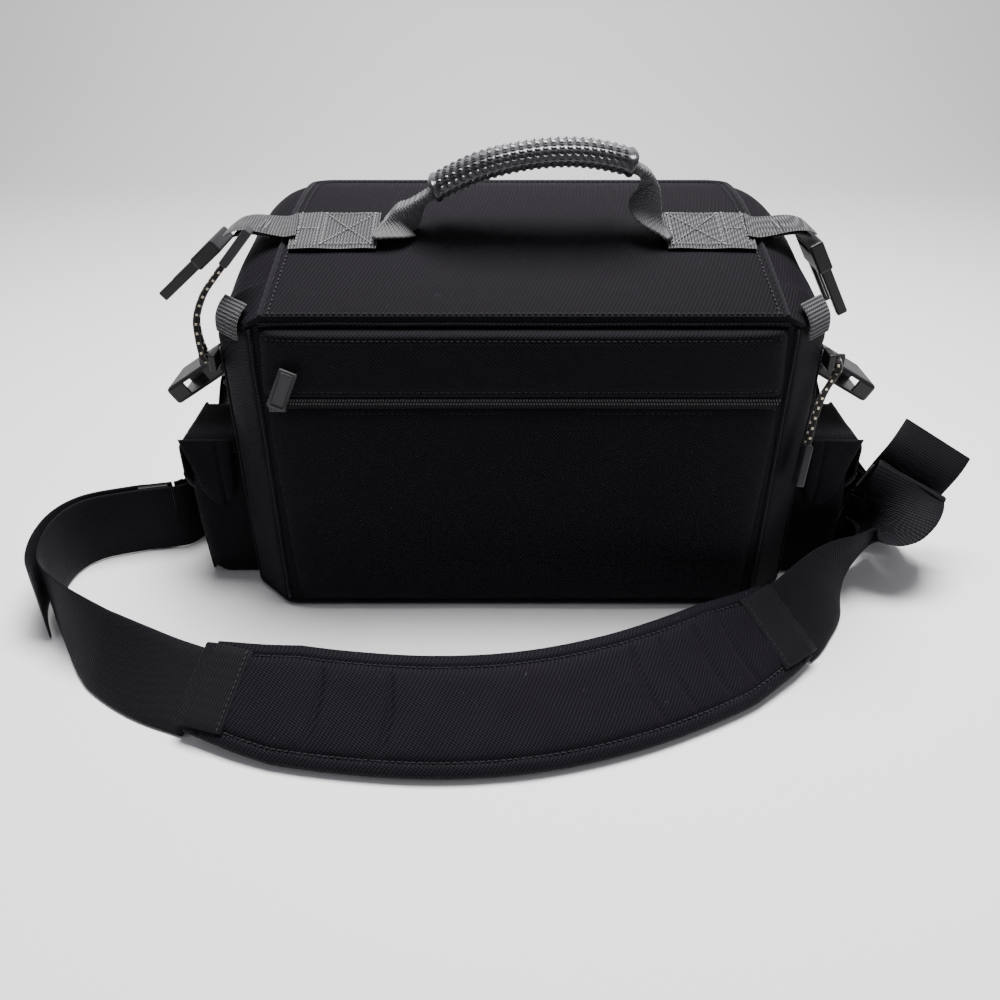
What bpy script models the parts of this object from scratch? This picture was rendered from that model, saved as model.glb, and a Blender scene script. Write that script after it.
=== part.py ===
"""Camera bag with a zipped lid, carry handle, side-release buckles, side pockets and shoulder strap.

Metres, +Z up. The origin is the middle of the base. The panel worn against the body faces -Y.
"""
import math

import bmesh
import bpy
from mathutils import Matrix, Vector

# Driving dimensions.
GAP = 0.0003                # clearance between pieces that touch
BACK_Y = -0.075             # outer face of the rear wall
FRONT_Y = 0.092             # outer face of the front wall
BACK_HALF = 0.152           # half width of the rear wall
SIDE_HALF = 0.178           # half width between the side walls
FRONT_HALF = 0.156          # half width of the front wall
SIDE_Y0 = -0.048            # where the flat of a side wall starts
SIDE_Y1 = 0.076             # where it ends
RIM_Z = 0.163               # top edge of the side and front walls
HINGE_Z = 0.1955            # top edge of the rear wall, where the lid folds
WALL = 0.003                # laminated fabric wall
LINER = 0.006               # padded liner wall

LID_TOP_Z = 0.238           # highest line of the lid
LID_CREST_Y = 0.062         # where that line runs
LID_DROP = 0.041            # fall from the crest to the rear seam

WEB_WIDE = 0.050            # shoulder webbing
WEB_HANDLE = 0.038          # handle webbing
WEB_NARROW = 0.025          # lid and buckle webbing
WEB_THICK = 0.0018

BUCKLE_Y = -0.002           # line of the side buckles
RING_Y = 0.047              # line of the strap rings
HANDLE_Y = -0.003           # line of the carry handle
HANDLE_AXIS_Z = 0.2352

POCKET_X = 0.214            # outer face of a side pocket
POCKET_Y0 = -0.040
POCKET_Y1 = 0.014
POCKET_Z = 0.104            # mouth of a side pocket

BACK_ZIP_Z = 0.150          # line of the rear pocket's zip
FRONT_ZIP_Z = 0.126         # line of the front pocket's zip
BACK_PANEL_TOP = 0.1935
FRONT_PANEL_TOP = 0.152
PANEL = 0.004               # quilted panel of a flat pocket
ZIP_BAND = 0.0064           # height of the gap the chain fills
SLIDER_X = -0.140           # closed end of the rear zip
FRONT_SLIDER_X = 0.126      # closed end of the front zip
LID_CLEARANCE = 0.0006      # gap between the lid's edge and the walls' edge
CORD_DIAMETER = 0.0032

STRAP_X = 0.2435            # where the free loop of the shoulder strap starts
STRAP_Y = -0.004
STRAP_AXIS_Z = 0.0262
LAYER = 0.0034              # distance of each webbing layer from the adjuster's middle

PAD_WIDTH = 0.066
PAD_THICK = 0.009
PAD_LEAN = math.radians(31)

ARC_STEPS = 4
BLACK = (0.012, 0.011, 0.013)
GREY = (0.20, 0.20, 0.21)


def clear_scene():
    for item in list(bpy.data.objects):
        bpy.data.objects.remove(item, do_unlink=True)


def new_collection(name):
    collection = bpy.data.collections.new(name)
    bpy.context.scene.collection.children.link(collection)
    return collection


def material(name, colour, roughness):
    """One Principled material, made once for each name."""
    found = bpy.data.materials.get(name)
    if found:
        return found
    made = bpy.data.materials.new(name)
    made.use_nodes = True
    shader = made.node_tree.nodes["Principled BSDF"]
    shader.inputs["Base Color"].default_value = (*colour, 1.0)
    shader.inputs["Roughness"].default_value = roughness
    shader.inputs["Metallic"].default_value = 0.0
    made.diffuse_color = (*colour, 1.0)
    return made


def fabric():
    return material("black_fabric", BLACK, 0.9)


def lining():
    return material("grey_lining", (0.09, 0.09, 0.10), 0.95)


def black_webbing():
    return material("black_webbing", (0.014, 0.014, 0.015), 0.8)


def grey_webbing():
    return material("grey_webbing", GREY, 0.85)


def plastic():
    return material("black_plastic", (0.02, 0.02, 0.021), 0.45)


def rubber():
    return material("grip_rubber", (0.02, 0.02, 0.02), 0.6)


def cord_colour():
    return material("flecked_cord", (0.10, 0.09, 0.07), 0.8)


def add_object(name, mesh, finish, home):
    """Link a mesh as one named object."""
    item = bpy.data.objects.new(name, mesh)
    mesh.materials.append(finish)
    home.objects.link(item)
    return item


def close_normals(bm):
    bmesh.ops.recalc_face_normals(bm, faces=bm.faces)


def finish_mesh(name, bm):
    mesh = bpy.data.meshes.new(name)
    bm.to_mesh(mesh)
    bm.free()
    return mesh


def rounded_polygon(corners, radii, arc_steps=ARC_STEPS, edge_steps=1):
    """Points of a polygon with an arc at each corner and edge_steps points added to each edge."""
    points = []
    count = len(corners)
    arcs = []
    for i, corner in enumerate(corners):
        here = Vector(corner)
        before = (Vector(corners[i - 1]) - here).normalized()
        after = (Vector(corners[(i + 1) % count]) - here).normalized()
        half = before.angle(after) / 2
        reach = radii[i] / math.tan(half)
        middle = here + (before + after).normalized() * (radii[i] / math.sin(half))
        start = here + before * reach - middle
        end = here + after * reach - middle
        sweep = start.angle_signed(end)
        arc = []
        for step in range(arc_steps + 1):
            turn = -sweep * step / arc_steps
            arc.append(middle + Matrix.Rotation(turn, 2) @ start)
        arcs.append(arc)
    for i, arc in enumerate(arcs):
        points.extend(arc)
        following = arcs[(i + 1) % count][0]
        for step in range(1, edge_steps + 1):
            points.append(arc[-1].lerp(following, step / (edge_steps + 1)))
    return points


def loft(name, rings, finish, home):
    """A closed solid skinned over rings of equal length, with its first and last ring filled."""
    bm = bmesh.new()
    levels = [[bm.verts.new(point) for point in ring] for ring in rings]
    count = len(rings[0])
    for lower, upper in zip(levels, levels[1:]):
        for i in range(count):
            j = (i + 1) % count
            bm.faces.new((lower[i], lower[j], upper[j], upper[i]))
    bm.faces.new(list(reversed(levels[0])))
    bm.faces.new(levels[-1])
    close_normals(bm)
    return add_object(name, finish_mesh(name, bm), finish, home)


def prism(name, outline, z0, z1, finish, home):
    """A flat outline raised from z0 to z1."""
    rings = [[Vector((p.x, p.y, z)) for p in outline] for z in (z0, z1)]
    return loft(name, rings, finish, home)


def box(name, size, centre, finish, home, bevel=0.0):
    """A box with its size in the mesh, so that its bevel stays even."""
    bm = bmesh.new()
    bmesh.ops.create_cube(bm, size=1.0, matrix=Matrix.Diagonal((*size, 1.0)))
    item = add_object(name, finish_mesh(name, bm), finish, home)
    item.location = centre
    if bevel:
        add_bevel(item, bevel)
    return item


def add_bevel(item, width, segments=2):
    bevel = item.modifiers.new("soft_edges", "BEVEL")
    bevel.width = width
    bevel.segments = segments
    bevel.limit_method = "ANGLE"
    bevel.angle_limit = math.radians(40)


def add_solidify(item, thickness, offset):
    shell = item.modifiers.new("thickness", "SOLIDIFY")
    shell.thickness = thickness
    shell.offset = offset
    shell.use_even_offset = True


def add_boolean(item, other, operation):
    change = item.modifiers.new(operation.lower() + "_" + other.name, "BOOLEAN")
    change.operation = operation
    change.object = other
    change.solver = "EXACT"
    other.hide_render = True
    other.display_type = "WIRE"


def smooth_path(points, steps):
    """A Catmull-Rom curve through points of any size, with steps spans between neighbours."""
    path = []
    last = len(points) - 1
    for i in range(last):
        p1, p2 = points[i], points[i + 1]
        p0 = points[i - 1] if i else p1 * 2 - p2
        p3 = points[i + 2] if i + 2 <= last else p2 * 2 - p1
        for step in range(steps):
            t = step / steps
            path.append(0.5 * (2 * p1 + (p2 - p0) * t + (2 * p0 - 5 * p1 + 4 * p2 - p3) * t ** 2
                               + (3 * p1 - p0 - 3 * p2 + p3) * t ** 3))
    path.append(points[-1].copy())
    return path


def tangents(path):
    result = []
    for i in range(len(path)):
        ahead = path[min(i + 1, len(path) - 1)]
        behind = path[max(i - 1, 0)]
        result.append((ahead - behind).normalized())
    return result


def ribbon(name, centres, widths, thickness, finish, home):
    """A strip of webbing: centres along it, and at each one its full width as a vector."""
    bm = bmesh.new()
    rows = []
    for centre, width in zip(centres, widths):
        rows.append([bm.verts.new(centre - width / 2), bm.verts.new(centre + width / 2)])
    for a, b in zip(rows, rows[1:]):
        bm.faces.new((a[0], a[1], b[1], b[0]))
    item = add_object(name, finish_mesh(name, bm), finish, home)
    add_solidify(item, thickness, 0.0)
    return item


def pivot_at(item, pivot):
    """Move an object's origin onto its joint, leaving its shape where it is."""
    pivot = Vector(pivot)
    item.data.transform(Matrix.Translation(item.location - pivot))
    item.location = pivot


def plan(inset=0.0, back=BACK_HALF, edge_steps=2):
    """The outline of the walls, moved inwards by inset."""
    slope = inset * 0.42
    half = [(back - slope, BACK_Y + inset), (SIDE_HALF - inset, SIDE_Y0 + slope),
            (SIDE_HALF - inset, SIDE_Y1 - slope), (FRONT_HALF - slope, FRONT_Y - inset)]
    corners = half + [(-x, y) for x, y in reversed(half)]
    radii = [0.012, 0.016, 0.014, 0.014]
    return rounded_polygon(corners, radii + radii[::-1], edge_steps=edge_steps)


def rim_height(y):
    """The walls' top edge: level, then rising to the fold of the lid at the rear."""
    rise = (y - BACK_Y) / 0.030
    return RIM_Z + (HINGE_Z - RIM_Z) * max(0.0, 1.0 - rise)


def lid_top(y):
    """Height of the lid's top panel along the bag's middle."""
    t = abs((LID_CREST_Y - y) / (LID_CREST_Y - BACK_Y))
    return LID_TOP_Z - LID_DROP * t ** 1.6


def level_ring(inset, z):
    return [Vector((p.x, p.y, z)) for p in plan(inset)]


def rim_ring(inset, lift=0.0):
    return [Vector((p.x, p.y, rim_height(p.y) + lift)) for p in plan(inset)]


def make_body(home):
    """Outer shell, base board, padded liner and the two dividers."""
    outside = [(0.006, 0.0), (0.0018, 0.0018), (0.0, 0.006), (0.0, 0.07), (0.0, 0.14)]
    inside = [(WALL, 0.14), (WALL, 0.07), (WALL, 0.008), (WALL + 0.004, WALL)]
    rings = [level_ring(inset, z) for inset, z in outside]
    rings.append(rim_ring(0.0))
    rings.append(rim_ring(WALL))
    rings.extend(level_ring(inset, z) for inset, z in inside)
    loft("body_shell", rings, fabric(), home)

    board_z = WALL + GAP
    prism("base_board", plan(0.010), board_z, board_z + 0.002, plastic(), home)

    liner_z = board_z + 0.002 + GAP
    inset = WALL + 0.0008
    top = 0.152
    thick = inset + LINER
    outside = [(inset + 0.007, liner_z), (inset + 0.002, liner_z + 0.002), (inset, liner_z + 0.006), (inset, top)]
    inside = [(thick, top), (thick, liner_z + LINER + 0.003), (thick + 0.003, liner_z + LINER)]
    loft("padded_liner", [level_ring(i, z) for i, z in outside + inside], lining(), home)

    floor = liner_z + LINER + GAP
    depth = FRONT_Y - BACK_Y - 2 * (thick + 0.0035)
    middle_y = (FRONT_Y + BACK_Y) / 2
    for side, x in (("left", -0.056), ("right", 0.058)):
        height = 0.142 - floor
        box("divider_" + side, (0.008, depth, height), (x, middle_y, floor + height / 2),
            lining(), home, bevel=0.002)


def make_flat_pocket(name, face_y, outward, half_width, zip_z, top, home):
    """The quilted upper and lower panels of a flat zipped pocket, and the closed zip between them."""
    y = face_y + outward * (GAP + PANEL / 2)
    for part, z0, z1, half in (("upper", zip_z + ZIP_BAND / 2, top, half_width),
                               ("lower", 0.008, zip_z - ZIP_BAND / 2, half_width - 0.004)):
        box(f"{name}_panel_{part}", (2 * half, PANEL, z1 - z0), (0, y, (z0 + z1) / 2), fabric(), home,
            bevel=0.0018)
    chain = 0.0026
    box(name + "_zip_chain", (2 * half_width - 0.006, chain, ZIP_BAND - 2 * GAP),
        (0, face_y + outward * (GAP + chain / 2), zip_z), plastic(), home, bevel=0.0006)


def make_flat_slider(name, face_y, outward, x, zip_z, turn, home, tools):
    """A zip slider and its pull tab. The tab is drawn pointing up and turned about its own face."""
    thick = 0.0026
    tab_thick = 0.0022
    y = face_y + outward * (PANEL + 2 * GAP + thick / 2)
    slider = box(name + "_zip_slider", (0.010, thick, 0.0085), (x, y, zip_z), plastic(), home, bevel=0.0008)
    eye = box(f"join_{name}_eye", (0.0046, 0.0030, 0.0050), (x, y + outward * 0.0022, zip_z), plastic(), tools,
              bevel=0.0006)
    add_boolean(slider, eye, "UNION")
    tab_y = y + outward * (0.0037 + GAP + tab_thick / 2)
    tab_long = 0.025
    tab = box(name + "_zip_pull", (0.0105, tab_thick, tab_long), (x, tab_y, zip_z + tab_long / 2), rubber(),
              home, bevel=0.0008)
    pivot_at(tab, (x, tab_y, zip_z))
    tab.rotation_euler = (0.0, turn, 0.0)


def make_pocket(side, home, tools):
    """A box-shaped side pocket, open at the top, and the flap that covers it."""
    name = "left" if side < 0 else "right"
    inner = SIDE_HALF + GAP

    def outline(x0, x1, y0, y1, radius):
        corners = [(x0, y0), (x1, y0), (x1, y1), (x0, y1)]
        points = rounded_polygon(corners, [0.001, radius, radius, 0.001], edge_steps=1)
        if side < 0:
            return [Vector((-p.x, p.y)) for p in reversed(points)]
        return points

    wall = 0.002
    rings = []
    for shrink, z in ((0.004, 0.0006), (0.001, 0.002), (0.0, 0.006), (0.0, POCKET_Z)):
        ring = outline(inner, POCKET_X - shrink, POCKET_Y0 + shrink, POCKET_Y1 - shrink, 0.010)
        rings.append([Vector((p.x, p.y, z)) for p in ring])
    pocket = loft("side_pocket_" + name, rings, fabric(), home)
    hollow = outline(inner + wall, POCKET_X - wall, POCKET_Y0 + wall, POCKET_Y1 - wall, 0.008)
    add_boolean(pocket, prism("cut_pocket_" + name, hollow, 0.004, POCKET_Z + 0.01, fabric(), tools), "DIFFERENCE")

    # The flap is a shallow cap: a top, and a skirt over the outer, rear and front faces.
    cover = 0.0022
    skirt_z = POCKET_Z - 0.024
    top_z = POCKET_Z + GAP + cover
    outer = outline(inner + 0.0006, POCKET_X + GAP + cover, POCKET_Y0 - GAP - cover,
                    POCKET_Y1 + GAP + cover, 0.012)
    flap = prism("pocket_flap_" + name, outer, skirt_z, top_z, fabric(), home)
    inside = outline(inner - 0.004, POCKET_X + GAP, POCKET_Y0 - GAP, POCKET_Y1 + GAP, 0.010)
    add_boolean(flap, prism("cut_flap_" + name, inside, skirt_z - 0.01, POCKET_Z + GAP, fabric(), tools),
                "DIFFERENCE")
    pivot_at(flap, (side * (inner + 0.0006), (POCKET_Y0 + POCKET_Y1) / 2, top_z))


def make_rim_tape(name, low, high, home):
    """Half of the main zip: a band round the sides and the front, just outside the wall."""
    thickness = 0.0012
    offset = GAP + thickness / 2
    right = [p for p in plan(-offset) if p.x > 0 and p.y > SIDE_Y0 + 0.006]
    path = right + [Vector((-p.x, p.y)) for p in reversed(right)]
    centres = [Vector((p.x, p.y, (low + high) / 2)) for p in path]
    widths = [Vector((0, 0, high - low))] * len(centres)
    return ribbon(name, centres, widths, thickness, plastic(), home)


def lid_crown(inset):
    """The edge of the lid's top panel, seen from above."""
    half = [(0.146, BACK_Y), (0.1435, SIDE_Y0 + 0.004), (0.136, SIDE_Y1 - 0.004), (0.128, FRONT_Y - 0.008)]
    inner = [(half[0][0] - inset, BACK_Y + inset), (half[1][0] - inset, half[1][1]),
             (half[2][0] - inset, half[2][1]), (half[3][0] - inset, half[3][1] - inset)]
    corners = inner + [(-x, y) for x, y in reversed(inner)]
    radii = [0.004, 0.016, 0.010, 0.010]
    return rounded_polygon(corners, radii + radii[::-1], edge_steps=2)


def lid_rings(inset):
    """Rings of one face of the lid's shell, from the rim up its rounded sides and in over the top."""
    foot = plan(inset)
    crown = lid_crown(inset)
    lowest = 0.0045
    rings = [rim_ring(inset, LID_CLEARANCE)]
    for across, up in ((0.0, 0.14), (-0.015, 0.30), (0.08, 0.54), (0.30, 0.77), (0.62, 0.92), (1.0, 1.0)):
        ring = []
        for low, high in zip(foot, crown):
            flat = low.lerp(high, across)
            foot_z = rim_height(low.y) + LID_CLEARANCE
            top_z = max(lid_top(high.y) - inset, foot_z + lowest)
            ring.append(Vector((flat.x, flat.y, foot_z + (top_z - foot_z) * up)))
        rings.append(ring)
    for scale in (0.85, 0.6, 0.3):
        ring = []
        for p in crown:
            y = 0.004 + (p.y - 0.004) * scale
            ring.append(Vector((p.x * scale, y, lid_top(y) - inset)))
        rings.append(ring)
    return rings


def make_lid(home):
    """The lid's shell, its padding, and the upper half of the main zip."""
    rings = list(reversed(lid_rings(0.0))) + lid_rings(WALL)
    loft("lid_shell", rings, fabric(), home)

    # The padding is a quilted board held up under the top panel.
    pad_gap = WALL + 0.0025
    crown = lid_crown(0.0)
    rings = []
    for drop in (0.006, 0.0):
        ring = []
        for p in crown:
            x = p.x * 0.88
            y = 0.006 + (p.y - 0.006) * 0.84
            ring.append(Vector((x, y, lid_top(y) - pad_gap - drop)))
        rings.append(ring)
    lid_pad("lid_padding", rings, home)
    make_rim_tape("lid_zip_tape", RIM_Z + LID_CLEARANCE, RIM_Z + LID_CLEARANCE + 0.0075, home)
    make_rim_tape("body_zip_tape", RIM_Z - 0.0075, RIM_Z - GAP, home)


def lid_pad(name, rings, home):
    """A padded board that follows the lid's curve: strips across it between its two long edges."""
    lower, upper = rings
    count = len(lower)
    bm = bmesh.new()
    below = [bm.verts.new(p) for p in lower]
    above = [bm.verts.new(p) for p in upper]
    for i in range(count):
        j = (i + 1) % count
        bm.faces.new((below[i], below[j], above[j], above[i]))
    for layer in (below, above):
        half = count // 2
        for i in range(half - 1):
            right = (layer[i], layer[i + 1])
            left = (layer[count - 2 - i], layer[count - 1 - i])
            bm.faces.new((right[0], right[1], left[0], left[1]))
    close_normals(bm)
    return add_object(name, finish_mesh(name, bm), lining(), home)


def lid_slope(y):
    """Tilt of the lid's top panel about X."""
    step = 0.001
    return math.atan((lid_top(y + step) - lid_top(y - step)) / (2 * step))


def make_lid_webbing(side, home):
    """The stitched handle patch, and the narrow lid strap that runs out from it to a buckle."""
    name = "left" if side < 0 else "right"
    slope = lid_slope(HANDLE_Y)
    surface = Vector((0, HANDLE_Y, lid_top(HANDLE_Y) + 0.0006))
    up = Vector((0, -math.sin(slope), math.cos(slope)))
    across = Vector((0, math.cos(slope), math.sin(slope)))

    patch_thick = 0.0022
    inner_x, outer_x = 0.086, 0.1365
    height = up * (patch_thick / 2 + 0.0005)
    centres = [surface + height + Vector((side * x, 0, 0)) for x in (inner_x, 0.112, outer_x)]
    ribbon("handle_patch_" + name, centres, [across * WEB_HANDLE] * 3, patch_thick, grey_webbing(), home)

    route = [Vector((0.1370, BUCKLE_Y, 0.2278)), Vector((0.148, BUCKLE_Y, 0.2302)),
             Vector((0.160, BUCKLE_Y, 0.2318)), Vector((0.1685, BUCKLE_Y, 0.2308))]
    if side < 0:
        route.append(Vector((0.1755, BUCKLE_Y, 0.2270)))
    else:
        route.append(Vector((0.1732, BUCKLE_Y, 0.2280)))
    path = smooth_path([Vector((side * p.x, p.y, p.z)) for p in route], 3)
    twist = [across.lerp(Vector((0, 1, 0)), i / (len(path) - 1)).normalized() for i in range(len(path))]
    ribbon("lid_strap_" + name, path, [t * WEB_NARROW for t in twist], WEB_THICK, grey_webbing(), home)


def make_handle(home):
    """Two folded webbing risers and the ribbed rubber sleeve between them."""
    route = [(-0.0855, HANDLE_AXIS_Z, 9, 4), (-0.068, 0.2425, 16, 5), (-0.0515, 0.2520, 20, 5.5),
             (-0.025, 0.2640, 21, 6), (0.005, 0.2708, 21, 6), (0.035, 0.2718, 21, 6),
             (0.0635, 0.2660, 20, 5.5), (0.0765, 0.2570, 16, 5), (0.0825, HANDLE_AXIS_Z, 9, 4)]
    centres = smooth_path([Vector((x, HANDLE_Y, z)) for x, z, w, t in route], 4)
    sizes = smooth_path([Vector((w, t, 0)) * 0.001 for x, z, w, t in route], 4)
    directions = tangents(centres)

    def section(i, grow, steps=3):
        width, thick = sizes[i].x + grow, sizes[i].y + grow
        radius = min(width, thick) * 0.42
        corners = [(-width / 2, -thick / 2), (width / 2, -thick / 2),
                   (width / 2, thick / 2), (-width / 2, thick / 2)]
        side = Vector((0, 1, 0))
        rise = directions[i].cross(side)
        points = rounded_polygon(corners, [radius] * 4, arc_steps=steps, edge_steps=0)
        return [centres[i] + side * p.x + rise * p.y for p in points]

    pivot = (0.0, HANDLE_Y, HANDLE_AXIS_Z)
    grip_start, grip_end = 8, 24
    spans = (("handle_riser_left", 0, grip_start), ("handle_riser_right", grip_end, len(centres) - 1))
    for name, first, last in spans:
        item = loft(name, [section(i, 0.0) for i in range(first, last + 1)], grey_webbing(), home)
        pivot_at(item, pivot)
    rings = []
    for i in range(grip_start, grip_end + 1):
        ring = section(i, 0.008)
        if i == grip_start:
            ring = [p + directions[i] * GAP for p in ring]
        if i == grip_end:
            ring = [p - directions[i] * GAP for p in ring]
        rings.append(ring)
    grip = loft("handle_grip", rings, rubber(), home)
    pivot_at(grip, pivot)


def make_plug(side, home, tools):
    """The two-pronged half of a side-release buckle, hanging from the lid strap."""
    name = "left" if side < 0 else "right"
    droop = math.radians(40) if side < 0 else math.radians(60)
    pivot = Vector((side * 0.1790, BUCKLE_Y, 0.2235)) if side < 0 else Vector((0.1718, BUCKLE_Y, 0.2243))

    # Drawn pointing along +X, then turned: a slotted base, two side prongs and a middle guide.
    half, slot_half = 0.0165, 0.0130
    plug = box("buckle_plug_" + name, (0.019, 2 * half, 0.0085), (0.0105, 0, 0), plastic(), home, bevel=0.0012)
    pivot_at(plug, (0, 0, 0))
    slot = box("cut_slot_" + name, (0.0038, 2 * slot_half, 0.02), (0.0050, 0, 0), plastic(), tools)
    add_boolean(plug, slot, "DIFFERENCE")
    arms = ((0.0340, 0.0054, 0.0130, 0.0062), (0.0340, 0.0054, -0.0130, 0.0062), (0.027, 0.0040, 0.0, 0.0052))
    others = [slot]
    for index, (length, width, y, thick) in enumerate(arms):
        arm = box(f"join_arm_{name}_{index}", (length, width, thick), (0.0185 + length / 2 - 0.002, y, 0),
                  plastic(), tools, bevel=0.0010)
        add_boolean(plug, arm, "UNION")
        others.append(arm)
    turn_into_place([plug] + others, pivot, side, droop)


def turn_into_place(items, pivot, side, droop):
    """Point pieces drawn along +X outwards on one side, dipping by droop."""
    heading = Matrix.Rotation(math.pi, 4, "Z") if side < 0 else Matrix.Identity(4)
    place = Matrix.Translation(pivot) @ Matrix.Rotation(side * droop, 4, "Y") @ heading
    for item in items:
        item.matrix_world = place @ Matrix.Translation(item.location)


def make_socket(side, home, tools):
    """The hollow half of a side-release buckle on its short webbing, resting over the pocket."""
    name = "left" if side < 0 else "right"
    droop = math.radians(33) if side < 0 else math.radians(30)
    pivot = Vector((side * 0.1868, BUCKLE_Y, 0.1490))
    length, half, thick = 0.042, 0.0180, 0.0125
    socket = box("buckle_socket_" + name, (length, 2 * half, thick), (length / 2 + 0.002, 0, 0),
                 plastic(), home, bevel=0.0022)
    pivot_at(socket, (0, 0, 0))
    mouth = box("cut_mouth_" + name, (0.036, 2 * half - 0.0045, thick - 0.0045), (length - 0.009, 0, 0),
                plastic(), tools)
    windows = box("cut_windows_" + name, (0.017, 0.06, thick - 0.0045), (length * 0.55, 0, 0), plastic(), tools)
    bar = box("cut_bar_" + name, (0.0036, 2 * half - 0.009, 0.03), (0.0072, 0, 0), plastic(), tools)
    for cutter in (mouth, windows, bar):
        add_boolean(socket, cutter, "DIFFERENCE")
    turn_into_place([socket, mouth, windows, bar], pivot, side, droop)

    route = [Vector((SIDE_HALF + 0.0012, BUCKLE_Y, z)) for z in (0.118, 0.130, 0.1410)]
    route.append(Vector((SIDE_HALF + 0.0035, BUCKLE_Y, 0.1470)))
    path = smooth_path([Vector((side * p.x, p.y, p.z)) for p in route], 3)
    ribbon("socket_webbing_" + name, path, [Vector((0, WEB_NARROW, 0))] * len(path), WEB_THICK,
           grey_webbing(), home)


RING_PIVOT = Vector((0.1850, RING_Y, 0.1310))
RING_DROOP = math.radians(42)
RING_REACH = 0.0200
RING_WIRE = 0.0040


def make_ring(side, home, tools):
    """The loop that carries the shoulder strap, and the webbing tab that holds it to the side wall."""
    name = "left" if side < 0 else "right"
    pivot = Vector((side * RING_PIVOT.x, RING_Y, RING_PIVOT.z))
    half = 0.0290
    ring = box("strap_ring_" + name, (RING_REACH + RING_WIRE, 2 * half, RING_WIRE), (RING_REACH / 2, 0, 0),
               plastic(), home, bevel=0.0012)
    pivot_at(ring, (0, 0, 0))
    hole = box("cut_ring_" + name, (RING_REACH - RING_WIRE, 2 * (half - RING_WIRE) + 0.001, 0.02),
               (RING_REACH / 2, 0, 0), plastic(), tools)
    add_boolean(ring, hole, "DIFFERENCE")
    turn_into_place([ring, hole], pivot, side, RING_DROOP)

    # The tab runs up the wall, round the inner bar and back down.
    radius = RING_WIRE / 2 + GAP + WEB_THICK / 2 + 0.0010
    route = [Vector((SIDE_HALF + 0.0013, 0, z)) for z in (0.098, 0.112, 0.126)]
    for step in range(0, 7):
        angle = math.radians(180 - 30 * step)
        route.append(Vector((RING_PIVOT.x + radius * math.cos(angle), 0, RING_PIVOT.z + radius * math.sin(angle))))
    path = [Vector((side * p.x, RING_Y, p.z)) for p in route]
    ribbon("ring_tab_" + name, path, [Vector((0, 0.046, 0))] * len(path), WEB_THICK, black_webbing(), home)


def ring_outer_bar():
    """Middle of the bar that the shoulder webbing hangs from, on the right side."""
    return RING_PIVOT + Vector((math.cos(RING_DROOP), 0, -math.sin(RING_DROOP))) * RING_REACH


# Lie of the right adjuster: along its bars, along the strap and out of its face.
PLATE_ALONG = Vector((0.867, -0.323, -0.378)).normalized()
PLATE_RISE = Vector((0.354, -0.132, 0.926)).normalized()
PLATE_OUT = PLATE_ALONG.cross(PLATE_RISE)
RIGHT_JUNCTION = Vector((0.2560, -0.0150, 0.0400))
STRIP_STEPS = 4


def lay_out(stations, first, last):
    """Smoothed centres, square unit widths and headings of a ribbon that starts and ends on given headings."""
    places = [Vector(p) for p, w in stations]
    sides = [Vector(w) for p, w in stations]
    first, last = Vector(first).normalized(), Vector(last).normalized()
    lead = places[1] - first * (places[1] - places[0]).length * 1.8
    trail = places[-2] + last * (places[-1] - places[-2]).length * 1.8
    centres = smooth_path([lead] + places + [trail], STRIP_STEPS)[STRIP_STEPS:-STRIP_STEPS]
    widths = smooth_path([sides[0]] + sides + [sides[-1]], STRIP_STEPS)[STRIP_STEPS:-STRIP_STEPS]
    directions = tangents(centres)
    directions[0] = first
    directions[-1] = last
    square = []
    for width, along in zip(widths, directions):
        square.append((width - along * width.dot(along)).normalized())
    return centres, square, directions


def strap_end_route(side):
    """Centre line and width directions of the webbing between a ring and the strap's adjuster."""
    bar = ring_outer_bar()
    if side > 0:
        stations = [(bar, (0, 1.0, 0)), ((0.2080, RING_Y - 0.0005, 0.0940), (-0.10, 0.99, 0)),
                    ((0.2180, RING_Y - 0.0060, 0.0660), (-0.38, 0.92, 0)),
                    ((0.2310, RING_Y - 0.0200, 0.0380), (-0.70, 0.71, 0)),
                    ((0.2425, RING_Y - 0.0360, 0.0200), (-0.88, 0.47, 0)),
                    ((0.2500, -0.0030, 0.0130), (-0.93, 0.36, 0)),
                    ((0.2530, -0.0125, 0.0222), (-0.93, 0.34, 0.10)),
                    (RIGHT_JUNCTION - PLATE_RISE * 2 * GAP, -PLATE_ALONG)]
        return lay_out(stations, (0.2, 0, -0.6), PLATE_RISE)
    arrival = Vector((-0.974, -0.230, 0))
    stations = [((-bar.x, bar.y, bar.z), (0, 1.0, 0)), ((-bar.x - 0.0070, RING_Y, 0.0920), (0, 1.0, 0)),
                ((-0.2155, RING_Y - 0.0040, 0.0640), (0, 0.96, -0.28)),
                ((-0.2245, RING_Y - 0.0180, 0.0400), (0, 0.66, -0.75)),
                ((-0.2320, 0.0100, 0.0275), (0, 0.15, -0.99)),
                ((-STRAP_X + 2 * GAP, STRAP_Y, STRAP_AXIS_Z), (0, 0, -1.0))]
    return lay_out(stations, (-0.2, 0, -0.6), arrival)


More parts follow.
